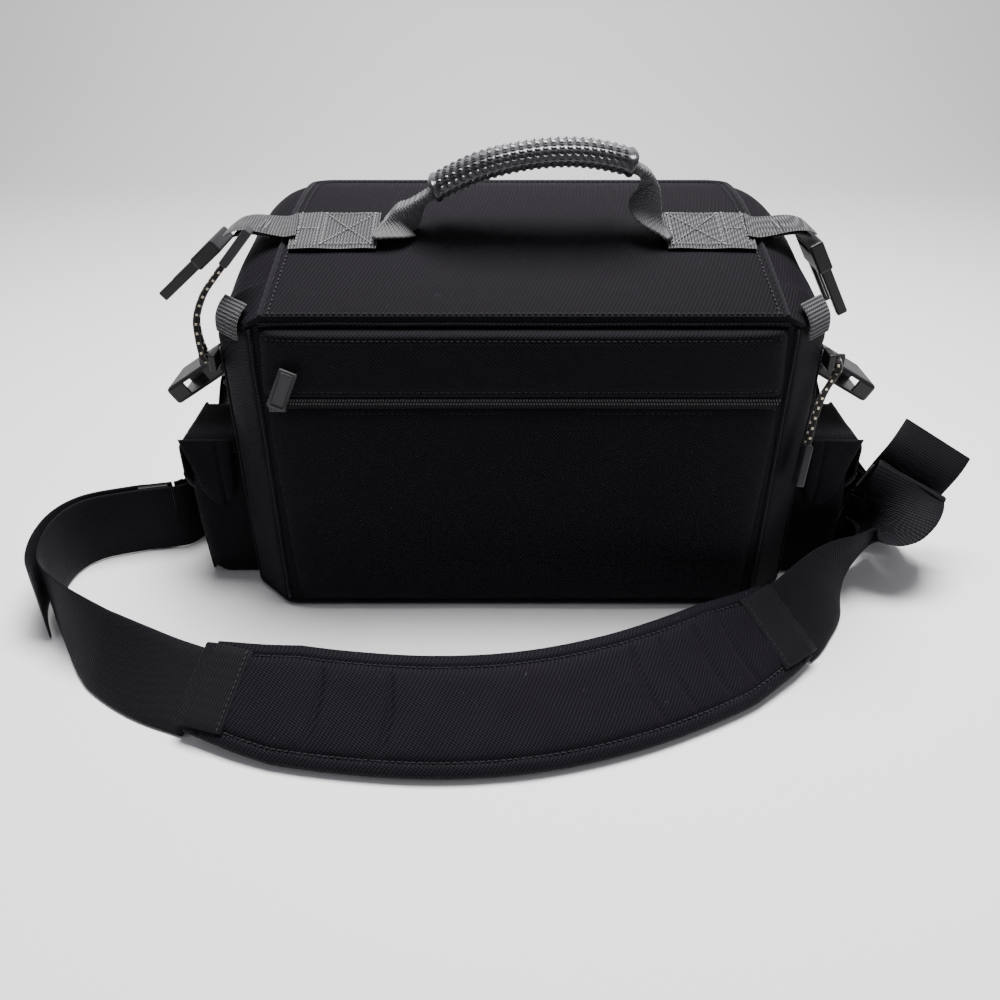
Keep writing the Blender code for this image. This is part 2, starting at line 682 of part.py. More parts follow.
def make_strap_end(side, home):
    """Webbing that goes up over a ring's outer bar and comes back down beside itself."""
    name = "left" if side < 0 else "right"
    centres, widths, directions = strap_end_route(side)
    wrap = 0.0044
    outer, inner = [], []
    last = len(centres) - 1
    for i, (centre, width, along) in enumerate(zip(centres, widths, directions)):
        normal = along.cross(width).normalized()
        spread = wrap + (LAYER - wrap) * i / last
        outer.append(centre + normal * spread)
        inner.append(centre - normal * spread)
    top = centres[0]
    out = outer[0] - top
    lift = -directions[0] * wrap
    arc = [top + out * math.cos(math.pi * step / 6) + lift * math.sin(math.pi * step / 6) for step in range(1, 6)]
    path = list(reversed(outer)) + arc + inner
    path_widths = list(reversed(widths)) + [widths[0]] * len(arc) + widths
    ribbon("strap_end_" + name, path, [w * WEB_WIDE for w in path_widths], WEB_THICK, black_webbing(), home)


def standing_height(lean, width):
    """Centre height of a strip that stands or leans with its lower edge on the table."""
    return 0.0012 + width / 2 * math.sin(lean)


def strip_frames(stations, steps, inward):
    """Centres and unit widths of a strip given by places on the table and a lean at each."""
    flat = smooth_path([Vector((x, y, math.radians(lean))) for x, y, lean in stations], steps)
    ground = [Vector((p.x, p.y, 0)) for p in flat]
    directions = tangents(ground)
    centres, widths = [], []
    for p, along in zip(flat, directions):
        side = Vector((0, 0, 1)).cross(along) * inward
        widths.append(side * math.cos(p.z) + Vector((0, 0, math.sin(p.z))))
        centres.append(Vector((p.x, p.y, standing_height(p.z, WEB_WIDE))))
    return centres, widths


LEFT_LOOP = [(-STRAP_X, STRAP_Y, 90), (-0.2570, -0.0072, 90), (-0.2705, -0.0104, 90), (-0.298, -0.022, 90),
             (-0.3100, -0.043, 90), (-0.3090, -0.074, 90), (-0.2975, -0.101, 90), (-0.276, -0.124, 80),
             (-0.247, -0.1455, 60), (-0.213, -0.1620, 42), (-0.1810, -0.1725, 31)]
LEFT_TAIL_POINTS = 26
LEFT_FADE_POINTS = 6


def layer_of(centres, offset, full, fade):
    """A layer beside a standing strip: offset from it for the first full points, then closing in."""
    directions = tangents([Vector((c.x, c.y, 0)) for c in centres])
    layer = []
    for i, (centre, along) in enumerate(zip(centres, directions)):
        share = min(1.0, max(0.0, 1 - (i - full) / fade))
        layer.append(centre + Vector((0, 0, 1)).cross(along) * offset * share)
    return layer


def left_strips():
    """Layers of the left webbing: the band that reaches the pad, and the loose tail outside it."""
    centres, widths = strip_frames(LEFT_LOOP, STRIP_STEPS, 1)
    band = layer_of(centres, LAYER, LEFT_TAIL_POINTS, LEFT_FADE_POINTS)
    tail = layer_of(centres, -LAYER, LEFT_TAIL_POINTS, LEFT_FADE_POINTS)[:LEFT_TAIL_POINTS]
    return (band, widths), (tail, widths[:LEFT_TAIL_POINTS])


def right_strips():
    """The right band folds over above the adjuster and twists down to the pad. The tail stands up."""
    start = RIGHT_JUNCTION + PLATE_OUT * LAYER
    top = start + PLATE_RISE * 0.025
    fold = 0.0042
    across = PLATE_ALONG
    band = [(start, across), (start + PLATE_RISE * 0.0125, across), (top, across),
            (top + PLATE_RISE * fold + PLATE_OUT * fold, across), (top + PLATE_OUT * 2 * fold, across),
            ((0.2515, -0.0400, 0.0440), (0.62, -0.71, 0.32)), ((0.2335, -0.0465, 0.0270), (-0.055, -0.604, 0.796)),
            ((0.2170, -0.0630, 0.0256), (-0.20, -0.33, 0.87)), ((0.1972, -0.0828, 0.0235), (-0.36, 0.30, 0.83)),
            ((0.1790, -0.1010, 0.0190), (-0.46, 0.55, 0.70)), ((0.1620, -0.1165, 0.0141), (-0.50, 0.69, 0.515))]
    start = RIGHT_JUNCTION - PLATE_OUT * LAYER
    top = start + PLATE_RISE * 0.025
    tail = [(start, across), (start + PLATE_RISE * 0.0125, across), (top, across),
            ((0.2735, -0.0150, 0.0775), (0.88, -0.30, -0.36)), ((0.2830, -0.0075, 0.0890), (0.88, -0.30, -0.36))]
    return [lay_out(strip, PLATE_RISE, last)[:2]
            for strip, last in ((band, (-0.79, -0.60, -0.10)), (tail, (0.55, 0.52, 0.65)))]


def make_shoulder_strap(home):
    """The free loop: two webbing bands, their loose tails and the shaped pad between them."""
    pivot = (0.0, STRAP_Y, STRAP_AXIS_Z)
    for name, strips in (("left", left_strips()), ("right", right_strips())):
        for label, (layer, widths) in zip(("band", "tail"), strips):
            item = ribbon(f"strap_{label}_{name}", layer, [w * WEB_WIDE for w in widths], WEB_THICK,
                          black_webbing(), home)
            pivot_at(item, pivot)

    pad_line = [(-0.1800, -0.1728), (-0.140, -0.1845), (-0.095, -0.1925), (-0.045, -0.1960), (0.005, -0.1915),
                (0.055, -0.1775), (0.103, -0.1555), (0.140, -0.1330), (0.1612, -0.1171)]
    ground = smooth_path([Vector((x, y, 0)) for x, y in pad_line], 3)
    directions = tangents(ground)
    rings = []
    count = len(ground) - 1
    for i, (p, along) in enumerate(zip(ground, directions)):
        end = min(i, count - i) / count
        width = PAD_WIDTH * (0.80 + 0.20 * min(1.0, end * 7))
        across = Vector((0, 0, 1)).cross(along) * math.cos(PAD_LEAN) + Vector((0, 0, math.sin(PAD_LEAN)))
        normal = across.cross(along)
        centre = p + Vector((0, 0, PAD_THICK * 0.45 + PAD_WIDTH / 2 * math.sin(PAD_LEAN)))
        corners = [(-width / 2, -PAD_THICK / 2), (width / 2, -PAD_THICK / 2),
                   (width / 2, PAD_THICK / 2), (-width / 2, PAD_THICK / 2)]
        section = rounded_polygon(corners, [PAD_THICK * 0.45] * 4, arc_steps=2, edge_steps=0)
        rings.append([centre + across * q.x + normal * q.y for q in section])
    pad = loft("shoulder_pad", rings, fabric(), home)
    pivot_at(pad, pivot)


def make_adjuster(side, home, tools):
    """A flat three-bar slide between the two layers of the strap."""
    name = "left" if side < 0 else "right"
    reach = 0.0125
    if side < 0:
        start, ahead = Vector((*LEFT_LOOP[0][:2], STRAP_AXIS_Z)), Vector((*LEFT_LOOP[1][:2], STRAP_AXIS_Z))
        along, up = (ahead - start).normalized(), Vector((0, 0, 1))
    else:
        start, along, up = RIGHT_JUNCTION, PLATE_RISE, PLATE_ALONG
    plate = box("strap_adjuster_" + name, (0.020, 0.0034, 0.0500), (0, 0, 0), plastic(), home, bevel=0.0008)
    slots = []
    for index, x in enumerate((-0.0046, 0.0046)):
        slot = box(f"cut_adjuster_{name}_{index}", (0.0038, 0.02, 0.0440), (x, 0, 0), plastic(), tools)
        add_boolean(plate, slot, "DIFFERENCE")
        slots.append(slot)
    frame = Matrix((along, up.cross(along), up)).transposed().to_4x4()
    turned = Matrix.Translation(start + along * reach) @ frame
    for item in [plate] + slots:
        item.matrix_world = turned @ Matrix.Translation(item.location)


def slider_eye(side):
    """Middle of the eye that a main zip slider holds its cord with."""
    return Vector((side * (SIDE_HALF + 0.0098), SIDE_Y0 + 0.001, RIM_Z + LID_CLEARANCE / 2))


def make_main_slider(side, home, tools):
    """A main zip slider with a drilled eye."""
    name = "left" if side < 0 else "right"
    eye = slider_eye(side)
    thick = 0.0040
    slider = box("main_zip_slider_" + name, (thick, 0.0130, 0.0105),
                 (side * (SIDE_HALF + 0.0024 + thick / 2), eye.y, eye.z), plastic(), home, bevel=0.0009)
    block = box("join_eye_" + name, (0.0078, 0.0024, 0.0066), (eye.x - side * 0.0002, eye.y, eye.z),
                plastic(), tools)
    add_boolean(slider, block, "UNION")
    bm = bmesh.new()
    bmesh.ops.create_cone(bm, cap_ends=True, segments=12, radius1=0.0022, radius2=0.0022, depth=0.02,
                          matrix=Matrix.Rotation(math.pi / 2, 4, "X"))
    drill = add_object("cut_eye_" + name, finish_mesh("cut_eye_" + name, bm), plastic(), tools)
    drill.location = eye
    add_boolean(slider, drill, "DIFFERENCE")


LEFT_STRAND = [(0.1884, -0.0472, 0.1675), (0.1892, -0.0478, 0.1770), (0.1882, -0.0484, 0.1900),
               (0.1820, -0.0488, 0.2035), (0.1745, -0.0488, 0.2130), (0.1680, -0.0486, 0.2205)]
RIGHT_STRAND = [(0.1885, -0.0468, 0.1586), (0.1875, -0.0482, 0.1530), (0.1795, -0.0565, 0.1440),
                (0.1742, -0.0640, 0.1310), (0.1722, -0.0675, 0.1180)]


def make_cord(side, home):
    """Two strands side by side, joined by a bend through the slider's eye, and their moulded end."""
    name = "left" if side < 0 else "right"
    strand = [Vector((side * x, y, z)) for x, y, z in (LEFT_STRAND if side < 0 else RIGHT_STRAND)]
    strand = smooth_path(strand, 4)
    eye = slider_eye(side)
    directions = tangents(strand)
    close, apart = CORD_DIAMETER * 0.60, 0.0042
    first, second = [], []
    for i, (point, along) in enumerate(zip(strand, directions)):
        aside = along.cross(Vector((side, 0, 0))).normalized()
        fade = max(0.0, 1 - i / 8) ** 2
        half = close + (apart - close) * fade
        first.append(point + aside * half)
        second.append(point - aside * half)
    bend = []
    reach = eye - strand[0]
    out = first[0] - strand[0]
    for step in range(1, 8):
        angle = math.pi * step / 8
        bend.append(strand[0] + out * math.cos(angle) + reach * math.sin(angle))
    points = list(reversed(first)) + bend + second
    curve = bpy.data.curves.new("zip_cord_" + name, "CURVE")
    curve.dimensions = "3D"
    curve.bevel_depth = CORD_DIAMETER / 2
    curve.bevel_resolution = 2
    curve.use_fill_caps = True
    spline = curve.splines.new("POLY")
    spline.points.add(len(points) - 1)
    for slot, point in zip(spline.points, points):
        slot.co = (*point, 1.0)
    curve.materials.append(cord_colour())
    item = bpy.data.objects.new("zip_cord_" + name, curve)
    home.objects.link(item)

    tip = strand[-1]
    along = directions[-1]
    length = 0.026
    end = box("cord_end_" + name, (0.0050, 0.0095, length), (0, 0, 0), plastic(), home, bevel=0.0010)
    across = Vector((0, 1, 0))
    across = (across - along * across.dot(along)).normalized()
    frame = Matrix((across.cross(along), across, along)).transposed().to_4x4()
    end.matrix_world = Matrix.Translation(tip + along * (length / 2 + 2 * GAP)) @ frame


def make_zip_tab(side, home):
    """The grey webbing that covers the rear end of the main zip, sewn to the lid's rear corner."""
    name = "left" if side < 0 else "right"
    along = Vector((SIDE_HALF - BACK_HALF, SIDE_Y0 - BACK_Y, 0)).normalized()
    outward = Vector((along.y, -along.x, 0))
    middle = Vector(((SIDE_HALF + BACK_HALF) / 2, (SIDE_Y0 + BACK_Y) / 2, 0))
    centres = []
    for out, z in ((0.0032, 0.1855), (0.0030, 0.1900), (0.0018, 0.1948), (-0.0013, 0.2000), (-0.0058, 0.2042)):
        p = middle + outward * out
        centres.append(Vector((side * p.x, p.y, z)))
    widths = [Vector((side * along.x, along.y, 0)) * 0.024] * len(centres)
    ribbon("zip_end_tab_" + name, centres, widths, WEB_THICK, grey_webbing(), home)


def main():
    clear_scene()
    home = new_collection("camera_bag")
    tools = new_collection("cutters")
    make_body(home)
    make_flat_pocket("back", BACK_Y, -1, 0.149, BACK_ZIP_Z, BACK_PANEL_TOP, home)
    make_flat_slider("back", BACK_Y, -1, SLIDER_X, BACK_ZIP_Z, math.radians(24), home, tools)
    make_flat_pocket("front", FRONT_Y, 1, 0.140, FRONT_ZIP_Z, FRONT_PANEL_TOP, home)
    make_flat_slider("front", FRONT_Y, 1, FRONT_SLIDER_X, FRONT_ZIP_Z, math.pi, home, tools)
    make_lid(home)
    make_handle(home)
    make_shoulder_strap(home)
    for side in (-1, 1):
        make_pocket(side, home, tools)
        make_lid_webbing(side, home)
        make_plug(side, home, tools)
        make_socket(side, home, tools)
        make_ring(side, home, tools)
        make_strap_end(side, home)
        make_adjuster(side, home, tools)
        make_main_slider(side, home, tools)
        make_cord(side, home)
        make_zip_tab(side, home)


main()
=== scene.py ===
"""Looks for the camera bag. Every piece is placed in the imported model's own frame, in metres."""

import math

import bpy
from mathutils import Matrix, Vector, noise


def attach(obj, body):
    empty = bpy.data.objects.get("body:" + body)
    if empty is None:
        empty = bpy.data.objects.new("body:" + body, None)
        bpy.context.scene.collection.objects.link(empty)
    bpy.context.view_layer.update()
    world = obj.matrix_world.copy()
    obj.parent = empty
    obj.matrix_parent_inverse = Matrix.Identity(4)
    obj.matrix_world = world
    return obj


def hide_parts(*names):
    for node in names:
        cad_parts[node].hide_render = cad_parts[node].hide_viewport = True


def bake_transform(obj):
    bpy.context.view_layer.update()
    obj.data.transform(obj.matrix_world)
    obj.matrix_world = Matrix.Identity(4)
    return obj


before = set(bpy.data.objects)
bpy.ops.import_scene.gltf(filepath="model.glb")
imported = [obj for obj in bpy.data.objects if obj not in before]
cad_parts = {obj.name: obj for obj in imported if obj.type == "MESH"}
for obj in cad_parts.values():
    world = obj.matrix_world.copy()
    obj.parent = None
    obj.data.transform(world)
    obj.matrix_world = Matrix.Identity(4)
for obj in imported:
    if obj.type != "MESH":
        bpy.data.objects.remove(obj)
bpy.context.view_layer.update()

# Dimensions shared with the CAD.
BACK_Y, FRONT_Y = -0.075, 0.092
BACK_HALF, SIDE_HALF, FRONT_HALF = 0.152, 0.178, 0.156
SIDE_Y0, SIDE_Y1 = -0.048, 0.076
RIM_Z, HINGE_Z, WALL = 0.163, 0.1955, 0.003
LID_GAP = 0.0006
BUCKLE_Y, RING_Y, HANDLE_Y, HANDLE_Z = -0.002, 0.047, -0.003, 0.2352
STRAP_X, STRAP_Y, STRAP_Z, LAYER = 0.2435, -0.004, 0.0262, 0.0034
BACK_ZIP_Z, FRONT_ZIP_Z = 0.150, 0.126
SIDES = (("left", -1), ("right", 1))
STRAP_WIDTH, BUCKLE_WIDTH, WEB_THICK, CORD_RADIUS = 0.050, 0.025, 0.0018, 0.0016
UP, DEEP = Vector((0, 0, 1)), Vector((0, 1, 0))


# ---------------------------------------------------------------- materials

def shader(name, colour, roughness, sheen=0.0, specular=0.5):
    made = bpy.data.materials.new(name)
    made.use_nodes = True
    tree = made.node_tree
    surface = tree.nodes["Principled BSDF"]
    surface.inputs["Base Color"].default_value = (*colour, 1.0)
    surface.inputs["Roughness"].default_value = roughness
    surface.inputs["Specular IOR Level"].default_value = specular
    if sheen:
        surface.inputs["Sheen Weight"].default_value = sheen
        surface.inputs["Sheen Roughness"].default_value = 0.45
        surface.inputs["Sheen Tint"].default_value = (0.75, 0.73, 0.80, 1.0)
    coord = tree.nodes.new("ShaderNodeTexCoord").outputs["Object"]
    return made, tree, surface, coord


def texture(tree, kind, coord, scale, **settings):
    node = tree.nodes.new(kind)
    node.inputs["Scale"].default_value = scale
    for key, value in settings.items():
        node.inputs[key].default_value = value
    tree.links.new(coord, node.inputs["Vector"])
    return node


def ramp(tree, source, stops):
    node = tree.nodes.new("ShaderNodeValToRGB")
    band = node.color_ramp
    while len(band.elements) < len(stops):
        band.elements.new(0.5)
    for element, (place, colour) in zip(band.elements, stops):
        element.position = place
        element.color = (*colour, 1.0)
    tree.links.new(source, node.inputs["Fac"])
    return node.outputs["Color"]


def combine(tree, kind, first, second):
    node = tree.nodes.new("ShaderNodeMath")
    node.operation = kind
    for socket, value in zip(node.inputs, (first, second)):
        if isinstance(value, float):
            socket.default_value = value
        else:
            tree.links.new(value, socket)
    return node.outputs["Value"]


def tint(tree, low, high):
    node = tree.nodes.new("ShaderNodeMix")
    node.data_type = "RGBA"
    node.blend_type = "MULTIPLY"
    node.inputs[0].default_value = 1.0
    tree.links.new(low, node.inputs[6])
    tree.links.new(high, node.inputs[7])
    return node.outputs[2]


def add_bump(tree, surface, height, distance):
    node = tree.nodes.new("ShaderNodeBump")
    node.inputs["Strength"].default_value = 1.0
    node.inputs["Distance"].default_value = distance
    tree.links.new(height, node.inputs["Height"])
    tree.links.new(node.outputs["Normal"], surface.inputs["Normal"])


def scaled(colour, factor):
    return tuple(min(1.0, c * factor) for c in colour)


def lattice(tree, coord, pitch):
    """0 on the crowns of the threads and 1 between them, from two crossing families of waves."""
    drift = texture(tree, "ShaderNodeTexNoise", coord, 90.0, Detail=2.0).outputs["Fac"]
    drift_turns, wave_length = 5.0, 1.9 * pitch
    waves = []
    for direction in ((1.0, 0.6, 0.0), (0.0, 0.6, 1.0)):
        dot = tree.nodes.new("ShaderNodeVectorMath")
        dot.operation = "DOT_PRODUCT"
        dot.inputs[1].default_value = direction
        tree.links.new(coord, dot.inputs[0])
        phase = combine(tree, "MULTIPLY", dot.outputs["Value"], 2 * math.pi / wave_length)
        phase = combine(tree, "ADD", phase, combine(tree, "MULTIPLY", drift, drift_turns))
        waves.append(combine(tree, "SINE", phase, 0.0))
    product = combine(tree, "MULTIPLY", waves[0], waves[1])
    return combine(tree, "ADD", combine(tree, "MULTIPLY", product, -0.5), 0.5)


def woven(name, colour, pitch, depth, roughness=0.72, sheen=0.25, painted_weave_shading=0.55, lint=0.0):
    """Cloth: a grid of thread crossings with painted highlights on the thread crowns and painted shade between
    them, slubs, slow colour variation and a trace of lint.
    """
    made, tree, surface, coord = shader(name, colour, roughness, sheen=sheen, specular=0.08)
    cells = lattice(tree, coord, pitch)
    slubs = texture(tree, "ShaderNodeTexNoise", coord, 420.0, Detail=3.0).outputs["Fac"]
    cloudy = texture(tree, "ShaderNodeTexNoise", coord, 14.0, Detail=5.0, Roughness=0.6).outputs["Fac"]
    # Painted light: the thread crowns are painted lighter and the gaps between the threads darker.
    thread = ramp(tree, cells, [(0.0, scaled(colour, 1 + 3.2 * painted_weave_shading)), (0.30, scaled(colour, 1.25)),
                                (0.75, scaled(colour, 1 - painted_weave_shading))])
    clouds = ramp(tree, cloudy, [(0.30, (0.80, 0.80, 0.80)), (0.72, (1.0, 1.0, 1.0))])
    mixed = tint(tree, thread, clouds)
    if lint:
        specks = texture(tree, "ShaderNodeTexNoise", coord, 260.0, Detail=1.0).outputs["Fac"]
        dust = ramp(tree, specks, [(0.0, (1.0, 1.0, 1.0)), (0.74, (1.0, 1.0, 1.0)), (0.82, (1 + lint,) * 3)])
        mixed = tint(tree, mixed, dust)
    tree.links.new(mixed, surface.inputs["Base Color"])
    height = combine(tree, "ADD", combine(tree, "MULTIPLY", cells, -1.0), combine(tree, "MULTIPLY", slubs, 0.7))
    add_bump(tree, surface, height, depth)
    return made


def moulded(name, colour, roughness, grain=0.00006, specular=0.28):
    """Plastic or rubber with a fine moulded grain and slightly worn, paler patches."""
    made, tree, surface, coord = shader(name, colour, roughness, specular=specular)
    fine = texture(tree, "ShaderNodeTexNoise", coord, 1500.0, Detail=2.0).outputs["Fac"]
    worn = texture(tree, "ShaderNodeTexNoise", coord, 60.0, Detail=6.0, Roughness=0.65).outputs["Fac"]
    tree.links.new(ramp(tree, worn, [(0.35, colour), (0.75, scaled(colour, 1.7))]), surface.inputs["Base Color"])
    shine = tree.nodes.new("ShaderNodeMapRange")
    shine.inputs["To Min"].default_value = roughness - 0.08
    shine.inputs["To Max"].default_value = roughness + 0.12
    tree.links.new(worn, shine.inputs["Value"])
    tree.links.new(shine.outputs["Result"], surface.inputs["Roughness"])
    add_bump(tree, surface, fine, grain)
    return made


NYLON = woven("bag_nylon", (0.0027, 0.0019, 0.0038), 0.0012, 0.00030, sheen=0.02, painted_weave_shading=0.8, lint=2.4)
PANEL = woven("panel_nylon", (0.0026, 0.0018, 0.0040), 0.0012, 0.00030, sheen=0.02, painted_weave_shading=0.8, lint=2.4)
PAD = woven("pad_nylon", (0.0044, 0.0034, 0.0060), 0.0012, 0.00028, sheen=0.035, painted_weave_shading=0.8, lint=3.0)
LINING = woven("brushed_lining", (0.13, 0.13, 0.14), 0.0014, 0.00018, sheen=0.5, painted_weave_shading=0.25)
BINDING = woven("edge_binding", (0.0042, 0.0034, 0.0054), 0.0009, 0.00018, sheen=0.15)
BLACK_WEB = woven("black_webbing_yarn", (0.0080, 0.0069, 0.0098), 0.0008, 0.00018, roughness=0.62, sheen=0.04)
GREY_WEB = woven("grey_webbing_yarn", (0.084, 0.084, 0.087), 0.0008, 0.00020, roughness=0.6, sheen=0.12)
# Painted shade: darker copies of the webbing yarns, put on the faces in the bottoms of the ribs' grooves.
BLACK_GROOVE_SHADE = woven("black_webbing_groove_shade", (0.0030, 0.0026, 0.0036), 0.0008, 0.00018, sheen=0.02)
GREY_GROOVE_SHADE = woven("grey_webbing_groove_shade", (0.036, 0.036, 0.038), 0.0008, 0.00020, sheen=0.04)
GROOVE_SHADES = {"black_webbing_yarn": BLACK_GROOVE_SHADE, "grey_webbing_yarn": GREY_GROOVE_SHADE}
TAPE = woven("zip_tape_cloth", (0.005, 0.0045, 0.006), 0.0007, 0.00012, sheen=0.1)
THREAD = woven("sewing_thread", (0.012, 0.011, 0.014), 0.0005, 0.00008, roughness=0.5, sheen=0.3)
GREY_THREAD = woven("grey_sewing_thread", (0.22, 0.22, 0.23), 0.0005, 0.00008, roughness=0.5, sheen=0.3)
COIL = moulded("zip_coil_nylon", (0.020, 0.018, 0.020), 0.34)
PLASTIC = moulded("buckle_acetal", (0.0065, 0.0065, 0.0075), 0.36)
DULL_PLASTIC = moulded("moulded_cord_end", (0.014, 0.014, 0.016), 0.36)
GRIP = moulded("grip_rubber", (0.016, 0.016, 0.019), 0.25, specular=0.55)
BOARD = moulded("base_board_plastic", (0.05, 0.05, 0.05), 0.6)
CORD_DARK = woven("cord_black_yarn", (0.016, 0.015, 0.014), 0.0006, 0.00010, roughness=0.6)
CORD_PALE = woven("cord_cream_yarn", (0.62, 0.55, 0.42), 0.0006, 0.00010, roughness=0.55, painted_weave_shading=0.2)


# ---------------------------------------------------------------- geometry tools

def make(name, verts, faces, material, body, nodes=(), slot=None, smooth=True, marks=None, others=()):
    mesh = bpy.data.meshes.new(name)
    mesh.from_pydata([tuple(v) for v in verts], [], faces)
    mesh.materials.append(material)
    for extra in others:
        mesh.materials.append(extra)
    if marks:
        for polygon, mark in zip(mesh.polygons, marks):
            polygon.material_index = mark
    mesh.validate()
    for polygon in mesh.polygons:
        polygon.use_smooth = smooth
    mesh.update()
    item = bpy.data.objects.new(name, mesh)
    bpy.context.scene.collection.objects.link(item)
    if body:
        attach(item, body)
    if nodes:
        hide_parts(*nodes)
    return item


def grid_faces(rows, columns, closed=True, start=0):
    faces = []
    span = columns if closed else columns - 1
    for r in range(rows - 1):
        for c in range(span):
            d = (c + 1) % columns
            a = start + r * columns
            b = a + columns
            faces.append((a + c, a + d, b + d, b + c))
    return faces


def slab_faces(rows, columns, flip):
    """Two skins of the same grid, back to back, closed round their border."""
    size = rows * columns
    faces = grid_faces(rows, columns, closed=False)
    faces += [f[::-1] for f in grid_faces(rows, columns, closed=False, start=size)]
    border = list(range(columns)) + [r * columns + columns - 1 for r in range(1, rows)]
    border += [(rows - 1) * columns + c for c in range(columns - 2, -1, -1)]
    border += [r * columns for r in range(rows - 2, 0, -1)]
    faces += [(b, a, a + size, b + size) for a, b in zip(border, border[1:] + border[:1])]
    return [f[::-1] for f in faces] if flip else faces


def loft(name, rings, material, body, caps=True, **more):
    """A skin through closed rings of the same count, with a fan over each end."""
    count = len(rings[0])
    verts = [p for ring in rings for p in ring]
    faces = grid_faces(len(rings), count)
    if caps:
        for ring, flip in ((0, True), (len(rings) - 1, False)):
            middle = sum((Vector(p) for p in rings[ring]), Vector()) / count
            verts.append(middle)
            hub = len(verts) - 1
            for c in range(count):
                pair = (ring * count + c, ring * count + (c + 1) % count)
                faces.append((pair[1], pair[0], hub) if flip else (pair[0], pair[1], hub))
    return make(name, verts, faces, material, body, **more)


def rounded(corners, radii, arc_steps=6, edge_steps=10):
    points, arcs = [], []
    count = len(corners)
    for i, corner in enumerate(corners):
        here = Vector(corner)
        before = (Vector(corners[i - 1]) - here).normalized()
        after = (Vector(corners[(i + 1) % count]) - here).normalized()
        half = before.angle(after) / 2
        reach = radii[i] / math.tan(half)
        middle = here + (before + after).normalized() * (radii[i] / math.sin(half))
        start = here + before * reach - middle
        sweep = start.angle_signed(here + after * reach - middle)
        arcs.append([middle + Matrix.Rotation(-sweep * k / arc_steps, 2) @ start for k in range(arc_steps + 1)])
    for i, arc in enumerate(arcs):
        points.extend(arc)
        following = arcs[(i + 1) % count][0]
        points.extend(arc[-1].lerp(following, k / (edge_steps + 1)) for k in range(1, edge_steps + 1))
    return points


def smooth_path(points, steps):
    path = []
    last = len(points) - 1
    for i in range(last):
        p1, p2 = points[i], points[i + 1]
        p0 = points[i - 1] if i else p1 * 2 - p2
        p3 = points[i + 2] if i + 2 <= last else p2 * 2 - p1
        for step in range(steps):
            t = step / steps
            path.append(0.5 * (2 * p1 + (p2 - p0) * t + (2 * p0 - 5 * p1 + 4 * p2 - p3) * t ** 2
                               + (3 * p1 - p0 - 3 * p2 + p3) * t ** 3))
    path.append(points[-1].copy())
    return path


def tangents(path):
    last = len(path) - 1
    return [(path[min(i + 1, last)] - path[max(i - 1, 0)]).normalized() for i in range(len(path))]


def lengths(path):
    total = [0.0]
    for a, b in zip(path, path[1:]):
        total.append(total[-1] + (b - a).length)
    return total


def resample(path, spacing, *others):
    """Points spaced evenly along a path, and other lists of vectors read at the same places."""
    total = lengths(path)
    count = max(2, round(total[-1] / spacing))
    results = [[] for _ in range(1 + len(others))]
    k = 0
    for i in range(count + 1):
        s = total[-1] * i / count
        while k < len(path) - 2 and total[k + 1] < s:
            k += 1
        t = (s - total[k]) / max(1e-9, total[k + 1] - total[k])
        for result, source in zip(results, (path,) + others):
            result.append(source[k].lerp(source[k + 1], t))
    return results


def hill(x):
    """1 in the middle of 0..1, falling smoothly to 0 at both ends."""
    return max(0.0, math.sin(math.pi * min(1.0, max(0.0, x))))


def ripple(p, size, seed=0.0):
    return noise.noise(Vector((p[0] / size + seed, p[1] / size - seed, p[2] / size + 2 * seed)))


def tube(name, path, radius, material, body, sides=8, closed=False, **more):
    directions = tangents(path)
    if closed:
        count = len(path)
        directions = [(path[(i + 1) % count] - path[i - 1]).normalized() for i in range(count)]
    up = Vector((0, 0, 1))
    if abs(directions[0].dot(up)) > 0.9:
        up = Vector((0, 1, 0))
    rings = []
    for p, along in zip(path, directions):
        up = (up - along * up.dot(along)).normalized()
        side = along.cross(up)
        rings.append([p + (side * math.cos(a) + up * math.sin(a)) * radius
                      for a in (2 * math.pi * k / sides for k in range(sides))])
    if closed:
        rings.append(rings[0])
        return loft(name, rings, material, body, caps=False, **more)
    return loft(name, rings, material, body, **more)


def webbing(name, centres, widths, width, thick, material, body, pitch=0.0016, rib=0.00028, wave=0.0, **more):
    """A woven strip: ribs across it as real relief with painted shade in their grooves, flatter selvedges, and
    rounded edges.
    """
    rows, sides = resample(smooth_path(centres, 4), pitch / 4, smooth_path(widths, 4))
    directions = tangents(rows)
    total = lengths(rows)
    segments = 8
    edge = 0.0012
    profile = [-width / 2, -width / 2 + edge]
    profile += [-width / 2 + edge + (width - 2 * edge) * k / segments for k in range(1, segments)]
    profile += [width / 2 - edge, width / 2]
    rings = []
    around = 2 * len(profile)
    # Painted shade: the faces in the bottoms of the rib grooves take the darker groove-shade copy of the yarn.
    marks = [1 if k % 4 in (1, 2) else 0 for k in range(len(rows) - 1) for _ in range(around)]
    for p, side, along, s in zip(rows, sides, directions, total):
        side = (side - along * side.dot(along)).normalized()
        normal = along.cross(side)
        lift = rib * 0.5 * math.cos(2 * math.pi * s / pitch)
        sway = wave * ripple(p, 0.03, 4.0)
        top, bottom = [], []
        for k, u in enumerate(profile):
            outer = k in (0, len(profile) - 1)
            near = k in (1, len(profile) - 2)
            half = thick * 0.5 * (0.30 if outer else 0.92 if near else 1.0) - rib * 0.5
            bump = 0.0 if outer else lift * (0.4 if near else 1.0)
            base = p + side * u + normal * sway
            top.append(base + normal * (half + bump))
            bottom.append(base - normal * (half + bump))
        rings.append(top + bottom[::-1])
    return loft(name, rings, material, body, marks=marks, others=(GROOVE_SHADES.get(material.name, material),), **more)


